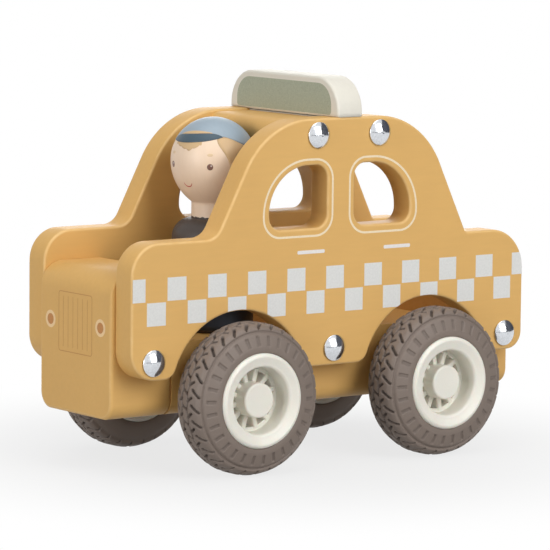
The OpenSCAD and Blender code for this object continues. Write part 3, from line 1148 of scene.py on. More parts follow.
@dataclass(frozen=True)
class RoofSign:
    """Cream board across the roof with a grey-green field on both faces."""

    middle: float = -6.0
    thickness: float = 10.8
    half_width: float = 32.1
    bottom: float = 121.0
    top: float = 134.7
    corner: float = 12.2
    rounding: float = 0.95
    margin: float = 4.2
    field_bottom: float = 121.6
    field_top: float = 132.4
    field_corner: float = 7.6
    field_foot: float = 1.2
    field_step: float = 0.2
    tongue_half: float = 21.6
    tongue_low: float = 120.2
    tongue_inset: float = 0.9
    tongue_rounding: float = 0.15

    def board(self, loop: Array, thickness: float, rounding: float) -> list[Patch]:
        """A board about the sign's middle plane."""
        return slab([loop], thickness, rounding, along_x(self.middle - thickness / 2, End.FRONT))

    def field(self) -> Array:
        """Loop of the printed field: small lower and large upper corners.

        Returns:
            The loop in Y and Z.
        """
        w, c, foot, step = self.half_width - self.margin, self.field_corner, self.field_foot, self.field_step
        low, high = self.field_bottom + foot, self.field_top - c
        return loop_of(arc((foot - w, low), foot, 180, 270, step),
                       arc((w - foot, low), foot, 270, 360, step),
                       arc((w - c, high), c, 0, 90), arc((c - w, high), c, 90, 180))

    def build(self, finish: Finishes) -> None:
        """Builds the tongue that stands on the roof between the panels, the board and its two fields.

        Args:
            finish: The mixed finishes by name.
        """
        reach = (self.tongue_half, self.bottom + self.rounding)
        strip = rounded_box((-self.tongue_half, self.tongue_low), reach, self.tongue_rounding)
        tongue = self.board(strip, self.thickness - 2 * self.tongue_inset, self.tongue_rounding)
        make_piece("roof_sign_tongue", tongue, finish["sign"], "taxi_body")
        w, r = self.half_width, self.corner
        loop = loop_of(np.array([[-w, self.bottom], [w, self.bottom]]), arc((w - r, self.top - r), r, 0, 90),
                       arc((r - w, self.top - r), r, 90, 180))
        board = self.board(loop, self.thickness, self.rounding)
        make_piece("roof_sign_board", board, finish["sign"], "taxi_body", ["roof_sign"])
        patches: list[Patch] = []
        for end in End:
            patches += print_of([self.field()], along_x(self.middle + end.value * self.thickness / 2, end))
        make_piece("roof_sign_fields", patches, finish["sign_panel"], "taxi_body")


@dataclass(frozen=True)
class Bolts:
    """Domed bolts through the side panels: one turned profile, set at each place on both sides."""

    node: str
    places: tuple[float, ...]
    level: float
    face: float = 32.0
    head: float = 4.6
    dome: float = 2.5
    dome_points: int = 40
    dimple: float = 0.05
    dimple_half: float = 0.3
    dimple_soft: float = 0.25
    rim: float = 0.6
    rim_round: float = 0.15
    seat: float = 0.02
    shank: float = 2.0
    length: float = 24.0
    steps: int = 64

    def profile(self) -> Array:
        """Profile from the middle of the head, with a faint dimple, over the dome and down the shank.

        Returns:
            Radius and height of its points.
        """
        rise = self.dome - self.rim
        ball = (self.head ** 2 + rise ** 2) / (2 * rise)
        r = np.linspace(0, self.head, self.dome_points)
        dip = self.dimple * band(r, self.dimple_half, self.dimple_soft)
        cap = self.dome - ball + np.sqrt(ball ** 2 - r ** 2) - dip
        tail = [(self.head, self.rim / 2), (self.head - self.rim_round, self.seat), (self.shank, self.seat),
                (self.shank, -self.length), (0, -self.length)]
        return np.concatenate([np.column_stack([r, cap]), np.array(tail)])

    def build(self, metal: Material) -> None:
        """Builds all bolts of the group in place of their node.

        Args:
            metal: Their finish.
        """
        turned = lathe(self.profile(), self.steps)
        patches: list[Patch] = []
        for x in self.places:
            for side in Side:
                spot = np.stack([x + turned[..., 0], side.value * (self.face + turned[..., 2]),
                                 self.level + turned[..., 1]], axis=-1)
                patches.append(grid(spot))
        make_piece(f"{self.node}_turned", patches, metal, "taxi_body", [self.node])


# Wheels


@dataclass(frozen=True)
class Hub:
    """Moulded hub: a turned profile whose pocket rises to a rib in each sector."""

    rim: float = 16.5
    out: float = 9.5
    back: float = -8.7
    lip: float = 1.4
    inner_lip: float = 1.2
    lip_drop: float = 0.8
    dish: float = 11.6
    web: float = 11.4
    ledge: float = 1.3
    pocket: float = 10.0
    pocket_floor: float = -2.7
    boss: float = 6.1
    boss_top: float = 7.1
    boss_round: float = 0.7
    barrel: float = 14.1
    web_under: float = -4.2
    sleeve: float = 5.1
    sleeve_end: float = -14.2
    line_steps: tuple[float, ...] = (1.0, 0.5, 0.35, 0.5, 0.28, 0.6, 0.4)
    arc_steps: tuple[float, ...] = (0.15, 0.2, 0.25)
    rear_step: float = 1.5
    ribs: int = 12
    rib_top: float = 1.7
    rib_half: float = 1.05
    rib_round: float = 0.7
    rib_soft: float = 0.12
    rib_end: float = 10.6
    rib_slack: Point = (0.05, 0.1)
    steps: int = 32

    def profile(self) -> Array:
        """Profile from the middle of the boss over the pocket, the dish and the lip to the sleeve's end.

        Returns:
            Radius and height of its points.
        """
        b, top, r, deep = self.boss, self.boss_top, self.boss_round, self.pocket_floor
        dip = self.out - self.lip_drop
        straights = (
            [(0, top), (b - r, top)],
            [(b, top - r), (b, deep)],
            [(b, deep), (self.pocket, deep)],
            [(self.pocket, deep), (self.pocket, self.ledge)],
            [(self.pocket, self.ledge), (self.web, self.ledge)],
            [(self.web, self.ledge), (self.dish, dip - self.inner_lip)],
            [(self.dish + self.inner_lip, dip), (self.rim - self.lip, self.out)])
        lines = [resample(ends, step) for ends, step in zip(straights, self.line_steps)]
        rounds = (((b - r, top - r), r, 90, 0),
                  ((self.dish + self.inner_lip, dip - self.inner_lip), self.inner_lip, 180, 90),
                  ((self.rim - self.lip, self.out - self.lip), self.lip, 90, 0))
        arcs = [arc(*shape, step) for shape, step in zip(rounds, self.arc_steps)]
        front = np.concatenate([lines[0], arcs[0], *lines[1:-1], arcs[1], lines[-1], arcs[2]])
        rear = [(self.rim, self.back), (self.barrel, self.back), (self.barrel, self.web_under),
                (self.sleeve, self.web_under), (self.sleeve, self.sleeve_end), (0, self.sleeve_end)]
        return np.concatenate([soften(front, 1), resample(rear, self.rear_step)])

    def surface(self) -> Array:
        """The turned profile, whose height rises to a rib with round edges between boss and dish.

        Returns:
            Grid of radius, angle and height.
        """
        radius, height = self.profile().T
        angle = np.linspace(0, TURN, self.ribs * self.steps + 1)
        sector = TURN / self.ribs
        across = np.outer(radius, np.abs((angle + sector / 2) % sector - sector / 2))
        bend = np.clip((across - self.rib_half) / self.rib_round + 1, 0, 1)
        crest = self.rib_top - self.rib_round * (1 - np.sqrt(1 - bend * bend))
        beside, above = self.rib_slack
        inside = (radius > self.boss - beside) & (radius < self.rib_end) & (height > self.web_under + above)
        rise = np.clip(crest - height[:, None], 0, None)
        lift = inside[:, None] * band(across, self.rib_half, self.rib_soft) * rise
        return np.stack(np.broadcast_arrays(radius[:, None], angle, height[:, None] + lift), axis=-1)


@dataclass(frozen=True)
class Groove:
    """A straight groove of the tread, in millimetres round the wheel and away from its middle plane."""

    share: float
    start: Point
    end: Point
    half: Point
    depth: float
    soft: float = 0.12

    def cut(self, along: Array, across: Array) -> Array:
        """Depth of a stroke with round ends, from each point's distance to the line between its two ends.

        Args:
            along: Distance round the wheel.
            across: Distance from the wheel's middle plane.

        Returns:
            The full depth inside the stroke and zero outside.
        """
        run, rise = self.end[0] - self.start[0], self.end[1] - self.start[1]
        x, y = along - self.start[0], across - self.start[1]
        share = np.clip((x * run + y * rise) / (run * run + rise * rise), 0, 1)
        gap = np.hypot(x - share * run, y - share * rise)
        edge = gap - self.half[0] - share * (self.half[1] - self.half[0])
        return self.depth * (1 - ramp(edge, -self.soft, self.soft))


@dataclass(frozen=True)
class Tyre:
    """Rubber tyre: a section carried round the wheel, with a pattern pressed in along its normal.

    The tread looks the same when it is turned by half a turn about the middle of a link. The points of the
    side are shares of its depth and of the half width.
    """

    bead: float = 16.55
    radius: float = 26.4
    half: float = 8.7
    side: tuple[Point, ...] = ((0, 0.96), (0.05, 0.985), (0.2, 0.985), (0.62, 0.84), (0.67, 0.8),
                               (0.695, 0.71), (0.735, 0.7), (0.76, 0.765), (0.83, 0.725))
    side_step: float = 0.3
    inner_step: float = 0.8
    bore_step: float = 3.0
    crown_half: float = 5.3
    crown_flat: float = 2.4
    crown_drop: float = 0.9
    tread_step: float = 0.21
    tread_start: Point = (2.6, 2.2)
    softness: int = 2
    pitches: int = 30
    steps: int = 24
    slot_inner: float = 18.95
    slot_outer: float = 22.3
    slot_half: float = 0.62
    slot_depth: float = 0.45
    slot_soft: float = 0.1
    link: Groove = Groove(0.583, (-0.75, 1.15), (0.75, -1.15), (0.42, 0.42), 1.5)
    hook: Groove = Groove(0.53, (-0.67, 1.6), (0.67, 3.4), (0.5, 0.3), 1.5)
    notch: Groove = Groove(-0.06, (-1.15, 6.0), (1.1, 3.5), (0.42, 0.52), 1.2)
    line: float = 1.1
    line_rise: float = 0.6
    line_shift: float = 0.136
    line_half: float = 0.28
    line_soft: float = 0.12
    line_depth: float = 1.0

    def section(self) -> Array:
        """Section from the outer bead over the crown to the inner bead.

        The side bulges, steps in at a narrow ring groove below the shoulder and runs into a slightly round
        crown.

        Returns:
            Radius and height of its points.
        """
        side = np.array(self.side) * (self.radius - self.bead, self.half) + (self.bead, 0)
        crown = np.array([side[-1], (self.radius - self.crown_drop, self.crown_half),
                          (self.radius, self.crown_flat)])
        mirrored = (1, -1)
        outer = resample(side, self.side_step)
        tread = resample(np.concatenate([crown, crown[::-1] * mirrored]), self.tread_step)
        inner = resample(side[::-1] * mirrored, self.inner_step)
        return soften(np.concatenate([outer[:-1], tread, inner[1:]]), self.softness)

    def pressed(self, angle: Array, radius: Array, height: Array) -> Array:
        """Depth of the pattern: slots in the side; links, hooks, notches and two wavy lines in the tread.

        Args:
            angle: Angles round the wheel.
            radius: Radius of each section point, as a column.
            height: Height of each section point, as a column.

        Returns:
            Depth on the grid of section points and angles.
        """
        pitch = TURN / self.pitches

        def away(share: float) -> Array:
            """Angle from the nearest repeat of a feature that lies at a share of the pitch."""
            return ((angle / pitch - share + 0.5) % 1 - 0.5) * pitch

        soft = self.slot_soft
        long = (ramp(radius, self.slot_inner - soft, self.slot_inner + soft)
                * ramp(-radius, -self.slot_outer - soft, -self.slot_outer + soft))
        slots = self.slot_depth * band(away(0) * radius, self.slot_half, soft) * long * (height > 0)
        middle = self.link.share
        cuts = self.link.cut(away(middle) * radius, height)
        for side in Side:
            s = side.value
            for groove in (self.hook, self.notch):
                cuts = np.maximum(cuts, groove.cut(s * away(middle + s * groove.share) * radius, s * height))
            wave = np.abs(np.sin(np.pi * (s * away(middle) / pitch + self.line_shift)))
            line = band(s * height - (self.line + self.line_rise * wave), self.line_half, self.line_soft)
            cuts = np.maximum(cuts, self.line_depth * line)
        low, high = self.tread_start
        return np.maximum(slots, cuts * ramp(radius, self.radius - low, self.radius - high))

    def surface(self) -> tuple[Array, Array]:
        """The section carried round, with the pattern pressed in and the bore closing it.

        Returns:
            Grid of radius, angle and height, and how far each of its points is pressed in, which sets the
            painted shade in the grooves.
        """
        line = self.section()
        slope = np.gradient(line, axis=0)
        normal = np.column_stack([-slope[:, 1], slope[:, 0]]) / np.linalg.norm(slope, axis=1, keepdims=True)
        angle = np.linspace(0, TURN, self.pitches * self.steps + 1)
        depth = self.pressed(angle, line[:, :1], line[:, 1:])
        radius = line[:, :1] - normal[:, :1] * depth
        height = line[:, 1:] - normal[:, 1:] * depth
        bore = resample([(self.bead, line[-1, 1]), (self.bead, line[0, 1])], self.bore_step)
        outer, inner = (np.stack(np.broadcast_arrays(r, angle, h), axis=-1)
                        for r, h in ((radius, height), (bore[:, :1], bore[:, 1:])))
        # Share of the groove depth, which darkens the grooves as painted shade
        groove_shade = np.concatenate([depth / self.link.depth, np.zeros(inner.shape[:2])])
        return np.concatenate([outer, inner]), groove_shade


@dataclass(frozen=True)
class Wheels:
    """The four wheels: the same hub and tyre at each place, turned by half a turn on the right side."""

    axles: Point = (40.5, -41.5)
    level: float = 26.4
    middle: float = 36.6
    hub_turn: Point = (15.0, 21.0)
    tyre_turn: Point = (14.5, 11.4)
    hub: Hub = Hub()
    tyre: Tyre = Tyre()

    def at(self, surface: Array, axle: float, side: Side, turn: float) -> Array:
        """Puts a grid of radius, angle and height at one wheel.

        Args:
            surface: Grid of radius, angle and height above the wheel's middle plane.
            axle: Place of the axle along X.
            side: Side of the wheel.
            turn: Turn of the piece about the axle in degrees.

        Returns:
            The grid in space.
        """
        radius, angle, height = np.moveaxis(surface, -1, 0)
        angle = angle + np.radians(turn)
        return np.stack([axle + side.value * radius * np.cos(angle), side.value * (self.middle + height),
                         self.level + radius * np.sin(angle)], axis=-1)

    def build(self, finish: Finishes) -> None:
        """Builds all hubs and tyres in place of their nodes.

        Args:
            finish: The mixed finishes by name.
        """
        hub = self.hub.surface()
        tyre, groove_shade = self.tyre.surface()
        for end, axle, hub_turn, tyre_turn in zip(End, self.axles, self.hub_turn, self.tyre_turn):
            body = f"{end.name.lower()}_wheelset"
            for side in Side:
                name = f"{end.name.lower()}_{side.name.lower()}"
                moulding = [grid(self.at(hub, axle, side, hub_turn))]
                rubber = [grid(self.at(tyre, axle, side, tyre_turn), groove_shade)]
                make_piece(f"{name}_hub_moulding", moulding, finish["hub"], body,
                           [f"{name}_hub"])
                make_piece(f"{name}_tyre_tread", rubber, finish["tyre"], body,
                           [f"{name}_tyre"])


# Doll


@dataclass(frozen=True)
class Doll:
    """Peg doll: body and head are profiles turned about its axis, with paint on them as thin films."""

    place: float = 29.6
    base: float = 45.8
    body_height: float = 39.2
    body: float = 14.4
    body_steps: int = 96
    shoulder: float = 7.0
    foot: float = 1.0
    head: float = 15.0
    head_level: float = 105.2
    head_points: int = 70
    head_steps: int = 128
    chin: float = 18.0
    neck: float = 7.6
    neck_foot: float = -27.9
    face: float = 16.0
    belt: float = 64.0
    belt_rows: int = 12
    film: float = 0.05
    collar_rise: float = 0.5
    collar_foot: float = -0.3
    collar_waves: tuple[tuple[float, int, float], ...] = ((0.12, 17, 0), (0.08, 29, 1))
    collar_grid: tuple[int, int] = (5, 241)
    side_step: float = 2.0
    top_step: float = 1.0
    foot_step: float = 0.2
    shoulder_step: float = 0.5
    disc_grid: tuple[int, int] = (5, 33)

    def spot(self, turned: Array, level: float) -> Array:
        """Moves a grid turned about the Z axis to the doll's axis and level."""
        return turned + np.array([self.place, 0, level])

    def head_radius(self, height: Array) -> Array:
        """Radius of the head: a ball above its middle and a longer arc below.

        Args:
            height: Height above the middle.

        Returns:
            The radius at each height.
        """
        ball = np.sqrt(np.clip(self.head ** 2 - height ** 2, 0, None))
        jaw = self.head - self.chin + np.sqrt(np.clip(self.chin ** 2 - height ** 2, 0, None))
        return np.where(height >= 0, ball, jaw)

    def on_head(self, azimuth: Array, elevation: Array, proud: float) -> Array:
        """Points on the head.

        Args:
            azimuth: Angle from the face's middle in degrees, towards the doll's left.
            elevation: Angle above the head's middle in degrees.
            proud: Distance outside the surface.

        Returns:
            Grid of points in space.
        """
        angle = np.radians(azimuth + self.face)
        rise = np.radians(elevation)
        height = self.head * np.sin(rise)
        radius = self.head_radius(height) + proud * np.cos(rise)
        level = height + proud * np.sin(rise)
        turned = np.stack([radius * np.cos(angle), radius * np.sin(angle), level], axis=-1)
        return self.spot(turned, self.head_level)

    def paint(self, azimuth: Array, elevation: Array, wraps: bool = False, layer: int = 1) -> list[Patch]:
        """A film of paint on the head over a grid of angles.

        Args:
            azimuth: Grid of angles from the face's middle.
            elevation: Grid of angles above the head's middle.
            wraps: Whether the film runs all round the head.
            layer: Number of the layer; later ones lie on earlier ones.

        Returns:
            The film.
        """
        outer = self.on_head(azimuth, elevation, self.film * layer)
        return skin(outer, self.on_head(azimuth, elevation, -self.film), wraps)

    def strip(self, azimuth: Array, low: Array, high: Array, rows: int = 8, wraps: bool = False,
              layer: int = 1) -> list[Patch]:
        """A film between a lower and an upper border that follow the azimuth.

        Args:
            azimuth: Angles along the strip.
            low: Elevation of its lower border.
            high: Elevation of its upper border.
            rows: Points across the strip.
            wraps: Whether it runs all round the head.
            layer: Number of the layer.

        Returns:
            The film.
        """
        elevation = low + np.linspace(0, 1, rows)[:, None] * (high - low)
        return self.paint(np.broadcast_to(azimuth, elevation.shape), elevation, wraps, layer)

    def disc(self, azimuth: float, elevation: float, size: Point, layer: int = 1) -> list[Patch]:
        """A round or oval film: rings of growing size about a middle point.

        Args:
            azimuth: Angle of the middle point from the face's middle.
            elevation: Its angle above the head's middle.
            size: Half width and half height in millimetres on the head.
            layer: Number of the layer.

        Returns:
            The film.
        """
        rings, steps = self.disc_grid
        angle = np.linspace(0, TURN, steps)
        share = np.linspace(0, 1, rings)[:, None]
        to_degrees = 180 / np.pi / self.head
        wide = size[0] * to_degrees / np.cos(np.radians(elevation))
        turned = azimuth + wide * share * np.cos(angle)
        raised = elevation + size[1] * to_degrees * share * np.sin(angle)
        outer, inner = (self.on_head(turned, raised, proud) for proud in (self.film * layer, -self.film))
        return [grid(outer), grid(inner), grid(np.stack([outer[-1], inner[-1]]))]

    def turned_body(self) -> list[Patch]:
        """Body from the base over the shoulder to the neck.

        Returns:
            The turned surface.
        """
        r, s, f, h = self.body, self.shoulder, self.foot, self.body_height
        line = np.concatenate([resample([(0, 0), (r - f, 0)], self.side_step),
                               arc((r - f, f), f, 270, 360, self.foot_step),
                               resample([(r, f), (r, h - s)], self.side_step),
                               arc((r - s, h - s), s, 0, 90, self.shoulder_step),
                               resample([(r - s, h), (0, h)], self.top_step)])
        return [grid(self.spot(lathe(line, self.body_steps), self.base))]

    def turned_head(self) -> list[Patch]:
        """Head from its top over the chin to the foot of the neck.

        Returns:
            The turned surface.
        """
        chin_drop = np.sqrt(self.chin ** 2 - (self.neck + self.chin - self.head) ** 2)
        fall = np.linspace(np.pi / 2, -np.arcsin(chin_drop / self.head), self.head_points)
        height = self.head * np.sin(fall)
        skull = np.column_stack([self.head_radius(height), height])
        neck = resample([(self.neck, height[-1]), (self.neck, self.neck_foot)], self.top_step)
        line = np.concatenate([skull, neck, [(0, self.neck_foot)]])
        return [grid(self.spot(lathe(line, self.head_steps), self.head_level))]

    def trousers(self) -> list[Patch]:
        """A film round the straight part of the body, from its foot to the belt.

        Returns:
            The film.
        """
        height = np.linspace(self.base + self.foot, self.belt, self.belt_rows)
        lines = [np.column_stack([np.full(self.belt_rows, self.body + proud), height])
                 for proud in (self.film, -self.film)]
        return skin(*(self.spot(lathe(line, self.body_steps), 0) for line in lines), True)

    def collar(self) -> list[Patch]:
        """Jacket paint round the foot of the neck: a film whose upper border is two sine waves.

        Returns:
            The film.
        """
        rows, columns = self.collar_grid
        angle = np.linspace(0, TURN, columns)
        waves = (size * np.sin(count * angle + start) for size, count, start in self.collar_waves)
        border = sum(waves, start=self.collar_rise)
        height = self.base + self.body_height + np.linspace(self.collar_foot, 1, rows)[:, None] * border

        def ring(radius: float) -> Array:
            """The film's grid at one radius."""
            flat = np.broadcast_arrays(radius * np.cos(angle), radius * np.sin(angle), height)
            return self.spot(np.stack(flat, axis=-1), 0)

        return skin(ring(self.neck + self.film), ring(self.neck - self.film), True)

    def build(self, finish: Finishes) -> None:
        """Builds body and head in place of their nodes, and the painted clothes.

        Args:
            finish: The mixed finishes by name.
        """
        make_piece("driver_body_turned", self.turned_body(), finish["jacket"], "driver",
                   ["driver_body"])
        make_piece("driver_head_turned", self.turned_head(), finish["skin"], "driver",
                   ["driver_head"])
        make_piece("driver_trousers", self.trousers(), finish["trousers"], "driver")
        make_piece("driver_collar", self.collar(), finish["jacket"], "driver")


@dataclass(frozen=True)
class CapAndHair:
    """Cap, brim and hair painted on the doll's head; places and sizes are degrees on the head."""

    doll: Doll
    lean: float = 0.063
    lean_span: Point = (50, 100)
    cap_low: float = 22.0
    cap_rise: float = 11.0
    cap_sides: Point = (50, 94)
    cap_tuck: float = 3.0
    cap_tuck_span: Point = (40, 52)
    cap_nape: float = 3.0
    cap_nape_span: Point = (90, 160)
    cap_grid: tuple[int, int] = (26, 145)
    brim_middle: float = 2.0
    brim_half: float = 52.0
    brim_level: Point = (32.45, 32.5)
    brim_reach: Point = (5.4, 7.9)
    brim_bluntness: Point = (2.2, 5.0)
    brim_points: int = 90
    hair_low: float = -16.0
    hair_high: float = 34.0
    hair_front: float = 61.0
    hair_sweep: float = 17.0
    hair_sweep_span: Point = (-6, 32)
    hair_under: float = 1.0
    hair_grid: tuple[int, int] = (14, 60)
    fringe_span: Point = (-29, 21)
    fringe_low: float = 17.3
    fringe_limit: float = 28.5
    fringe_top: float = 30.0
    fringe_points: int = 120
    parting: float = 2.2
    parting_slopes: Point = (0.27, 0.45)
    lock: float = 2.0
    lock_pitch: float = 10.5
    band_span: Point = (-28, 37)
    band_rise: float = 5.4
    band_fall: float = 0.3
    band_fall_start: float = -5.0
    band_points: int = 60

    def cap_edge(self, azimuth: Array) -> Array:
        """The cap's lower edge: high beside the brim, below the brim in front, and low at the back.

        Args:
            azimuth: Angles from the face's middle.

        Returns:
            Elevation of the edge.
        """
        off = np.abs(azimuth - self.brim_middle)
        tilt = self.lean * (azimuth - self.brim_middle) * (1 - ramp(np.abs(azimuth), *self.lean_span))
        beside = self.cap_low + self.cap_rise * (1 - ramp(off, *self.cap_sides)) + tilt
        below = self.cap_tuck * (1 - ramp(off, *self.cap_tuck_span))
        return beside - below - self.cap_nape * ramp(off, *self.cap_nape_span)

    def brim_edges(self, azimuth: Array) -> tuple[Array, Array]:
        """The brim's lower and upper edge: a lens with blunt ends, leaning with the cap.

        Args:
            azimuth: Angles from the face's middle.

        Returns:
            Elevations of both edges.
        """
        share = np.clip(np.abs(azimuth - self.brim_middle) / self.brim_half, 0, 1)
        tilt = self.lean * (azimuth - self.brim_middle)
        bends = zip(self.brim_reach, self.brim_bluntness)
        lower, upper = (reach * (1 - share ** power) for reach, power in bends)
        return self.brim_level[0] - lower + tilt, self.brim_level[1] + upper + tilt

    def cap(self) -> list[Patch]:
        """The cap from its edge to the top of the head.

        Returns:
            The film.
        """
        rows, columns = self.cap_grid
        azimuth = np.linspace(-180, 180, columns)
        edge = self.cap_edge(azimuth)
        return self.doll.strip(azimuth, edge, np.full_like(edge, 90.0), rows, wraps=True, layer=2)

    def hair(self) -> list[Patch]:
        """Hair from one temple round the back to the other, further back lower down, and up under the cap.

        Returns:
            The film.
        """
        rows, columns = self.hair_grid
        side = np.linspace(0, 1, columns)[None, :]
        rise = np.linspace(0, 1, rows)[:, None]
        level = self.hair_low + rise * (self.hair_high - self.hair_low)
        front = self.hair_front - self.hair_sweep * ramp(level, *self.hair_sweep_span)
        azimuth = front + side * (360 - 2 * front)
        top = self.cap_edge(np.where(azimuth > 180, azimuth - 360, azimuth)) + self.hair_under
        return self.doll.paint(azimuth, self.hair_low + rise * (top - self.hair_low))

    def fringe(self) -> list[Patch]:
        """Fringe below the brim: two slopes that meet at the parting, with a row of rounded locks.

        Returns:
            The film.
        """
        azimuth = np.linspace(*self.fringe_span, self.fringe_points)
        off = azimuth - self.parting
        slope = np.where(off > 0, self.parting_slopes[1], self.parting_slopes[0]) * np.abs(off)
        locks = self.lock * np.sqrt(np.abs(np.cos(np.pi * off / self.lock_pitch)))
        low = np.minimum(self.fringe_low + slope - locks, self.fringe_limit)
        return self.doll.strip(azimuth, low, np.full_like(azimuth, self.fringe_top))

    def brim(self) -> list[Patch]:
        """The dark brim.

        Returns:
            The film.
        """
        start, end = self.brim_middle - self.brim_half, self.brim_middle + self.brim_half
        azimuth = np.linspace(start, end, self.brim_points)
        return self.doll.strip(azimuth, *self.brim_edges(azimuth), layer=3)

    def cap_band(self) -> list[Patch]:
        """The band above the brim: a blunt arch that is lower towards the doll's left.

        Returns:
            The film.
        """
        start, end = self.band_span
        azimuth = np.linspace(start, end, self.band_points)
        foot = self.brim_edges(azimuth)[1]
        arch = self.band_rise * np.sqrt(np.clip(np.sin(np.pi * (azimuth - start) / (end - start)), 0, 1))
        arch = arch * (1 - self.band_fall * ramp(azimuth, self.band_fall_start, end))
        return self.doll.strip(azimuth, foot, foot + arch, layer=3)

    def build(self, finish: Finishes) -> None:
        """Builds all films of the cap and the hair.

        Args:
            finish: The mixed finishes by name.
        """
        films = (("driver_cap", self.cap(), "cap", "doll_clothes"),
                 ("driver_hair", self.hair(), "hair", "doll_skin"),
                 ("driver_fringe", self.fringe(), "hair", "doll_skin"),
                 ("driver_brim", self.brim(), "brim", "doll_clothes"),
                 ("driver_cap_band", self.cap_band(), "hair", "doll_clothes"))
        for name, patches, tone, slot in films:
            make_piece(name, patches, finish[tone], "driver")


@dataclass(frozen=True)
class Face:
    """Painted eyes, brows and mouth; places are degrees on the head, sizes are millimetres."""

    doll: Doll
    eyes: tuple[Point, Point] = ((34.2, -5.2), (-29.8, -4.2))
    eye_size: Point = (1.07, 1.1)
    glint_shift: Point = (1.6, 1.5)
    glint_size: Point = (0.3, 0.3)
    brow_rise: float = 16.0
    brow_size: Point = (1.05, 0.55)
    mouth_half: float = 7.7
    mouth_middle: float = -2.5
    mouth_level: float = -34.9
    mouth_rise: float = 5.3
    mouth_power: float = 2.8
    mouth_line: float = 0.85
    mouth_grid: tuple[int, int] = (4, 40)

    def mouth(self) -> list[Patch]:
        """The smile: a line whose ends rise by a power of the distance from its middle.

        Returns:
            The film.
        """
        rows, columns = self.mouth_grid
        off = np.linspace(-self.mouth_half, self.mouth_half, columns)
        curve = self.mouth_level + self.mouth_rise * np.abs(off / self.mouth_half) ** self.mouth_power
        low, high = curve - self.mouth_line, curve + self.mouth_line
        return self.doll.strip(off + self.mouth_middle, low, high, rows)

    def build(self, finish: Finishes) -> None:
        """Builds all films of the face.

        Args:
            finish: The mixed finishes by name.
        """
        eyes: list[Patch] = []
        glints: list[Patch] = []
        brows: list[Patch] = []
        aside, above = self.glint_shift
        for azimuth, elevation in self.eyes:
            eyes += self.doll.disc(azimuth, elevation, self.eye_size)
            glints += self.doll.disc(azimuth + aside, elevation + above, self.glint_size, layer=2)
            brows += self.doll.disc(azimuth, elevation + self.brow_rise, self.brow_size)
        films = (("driver_eyes", eyes, "eye"), ("driver_eye_glints", glints, "glint"),
                 ("driver_brows", brows, "brow"), ("driver_mouth", self.mouth(), "mouth"))
        for name, patches, tone in films:
            make_piece(name, patches, finish[tone], "driver")


# Room


def stage_quad(name: str, corners: Sequence[Sequence[float]], material: Material) -> bpy.types.Object:
    """Makes one flat face of the room.

    Args:
        name: Name of the object.
        corners: Its four corners in metres.
        material: Its finish.

    Returns:
        The object.
    """
    mesh = bpy.data.meshes.new(name)
    mesh.from_pydata(corners, [], [(0, 1, 2, 3)])
    mesh.materials.append(material)
    quad = bpy.data.objects.new(name, mesh)
    bpy.context.scene.collection.objects.link(quad)
    return quad


@dataclass(frozen=True)
class Lamp:
    """A rectangular soft light that faces the toy, in metres and watts."""

    name: str
    place: tuple[float, float, float]
    size: Point
    power: float
    target: tuple[float, float, float] = (0, 0, 0.07)

    def build(self) -> None:
        """Hangs the light."""
        data = bpy.data.lights.new(self.name, "AREA")
        data.shape = "RECTANGLE"
        data.size, data.size_y = self.size
        data.energy = self.power
        lamp = bpy.data.objects.new(self.name, data)
        lamp.location = self.place
        lamp.rotation_euler = (Vector(self.target) - Vector(self.place)).to_track_quat("-Z", "Y").to_euler()
        bpy.context.scene.collection.objects.link(lamp)


@dataclass(frozen=True)
class DarkCard:
    """An upright dark card that only mirrors see, so that polished metal shows some contrast."""

    middle: Point
    along: Point
    height: float
    foot: float = 0.02
    felt: Ink = Ink("dark_card_felt", (84, 86, 95), roughness=0.9)

    def build(self) -> None:
        """Hangs the card just above the floor; it reaches equally far to both sides of its middle."""
        (x, y), (dx, dy) = self.middle, self.along
        ends = [(x - dx, y - dy), (x + dx, y + dy)]
        low, high = self.foot, self.height
        corners = [(*ends[0], low), (*ends[1], low), (*ends[1], high), (*ends[0], high)]
        card = stage_quad("dark_card", corners, self.felt.material())
        for kind in ("camera", "diffuse", "transmission", "volume_scatter", "shadow"):
            setattr(card, f"visible_{kind}", False)


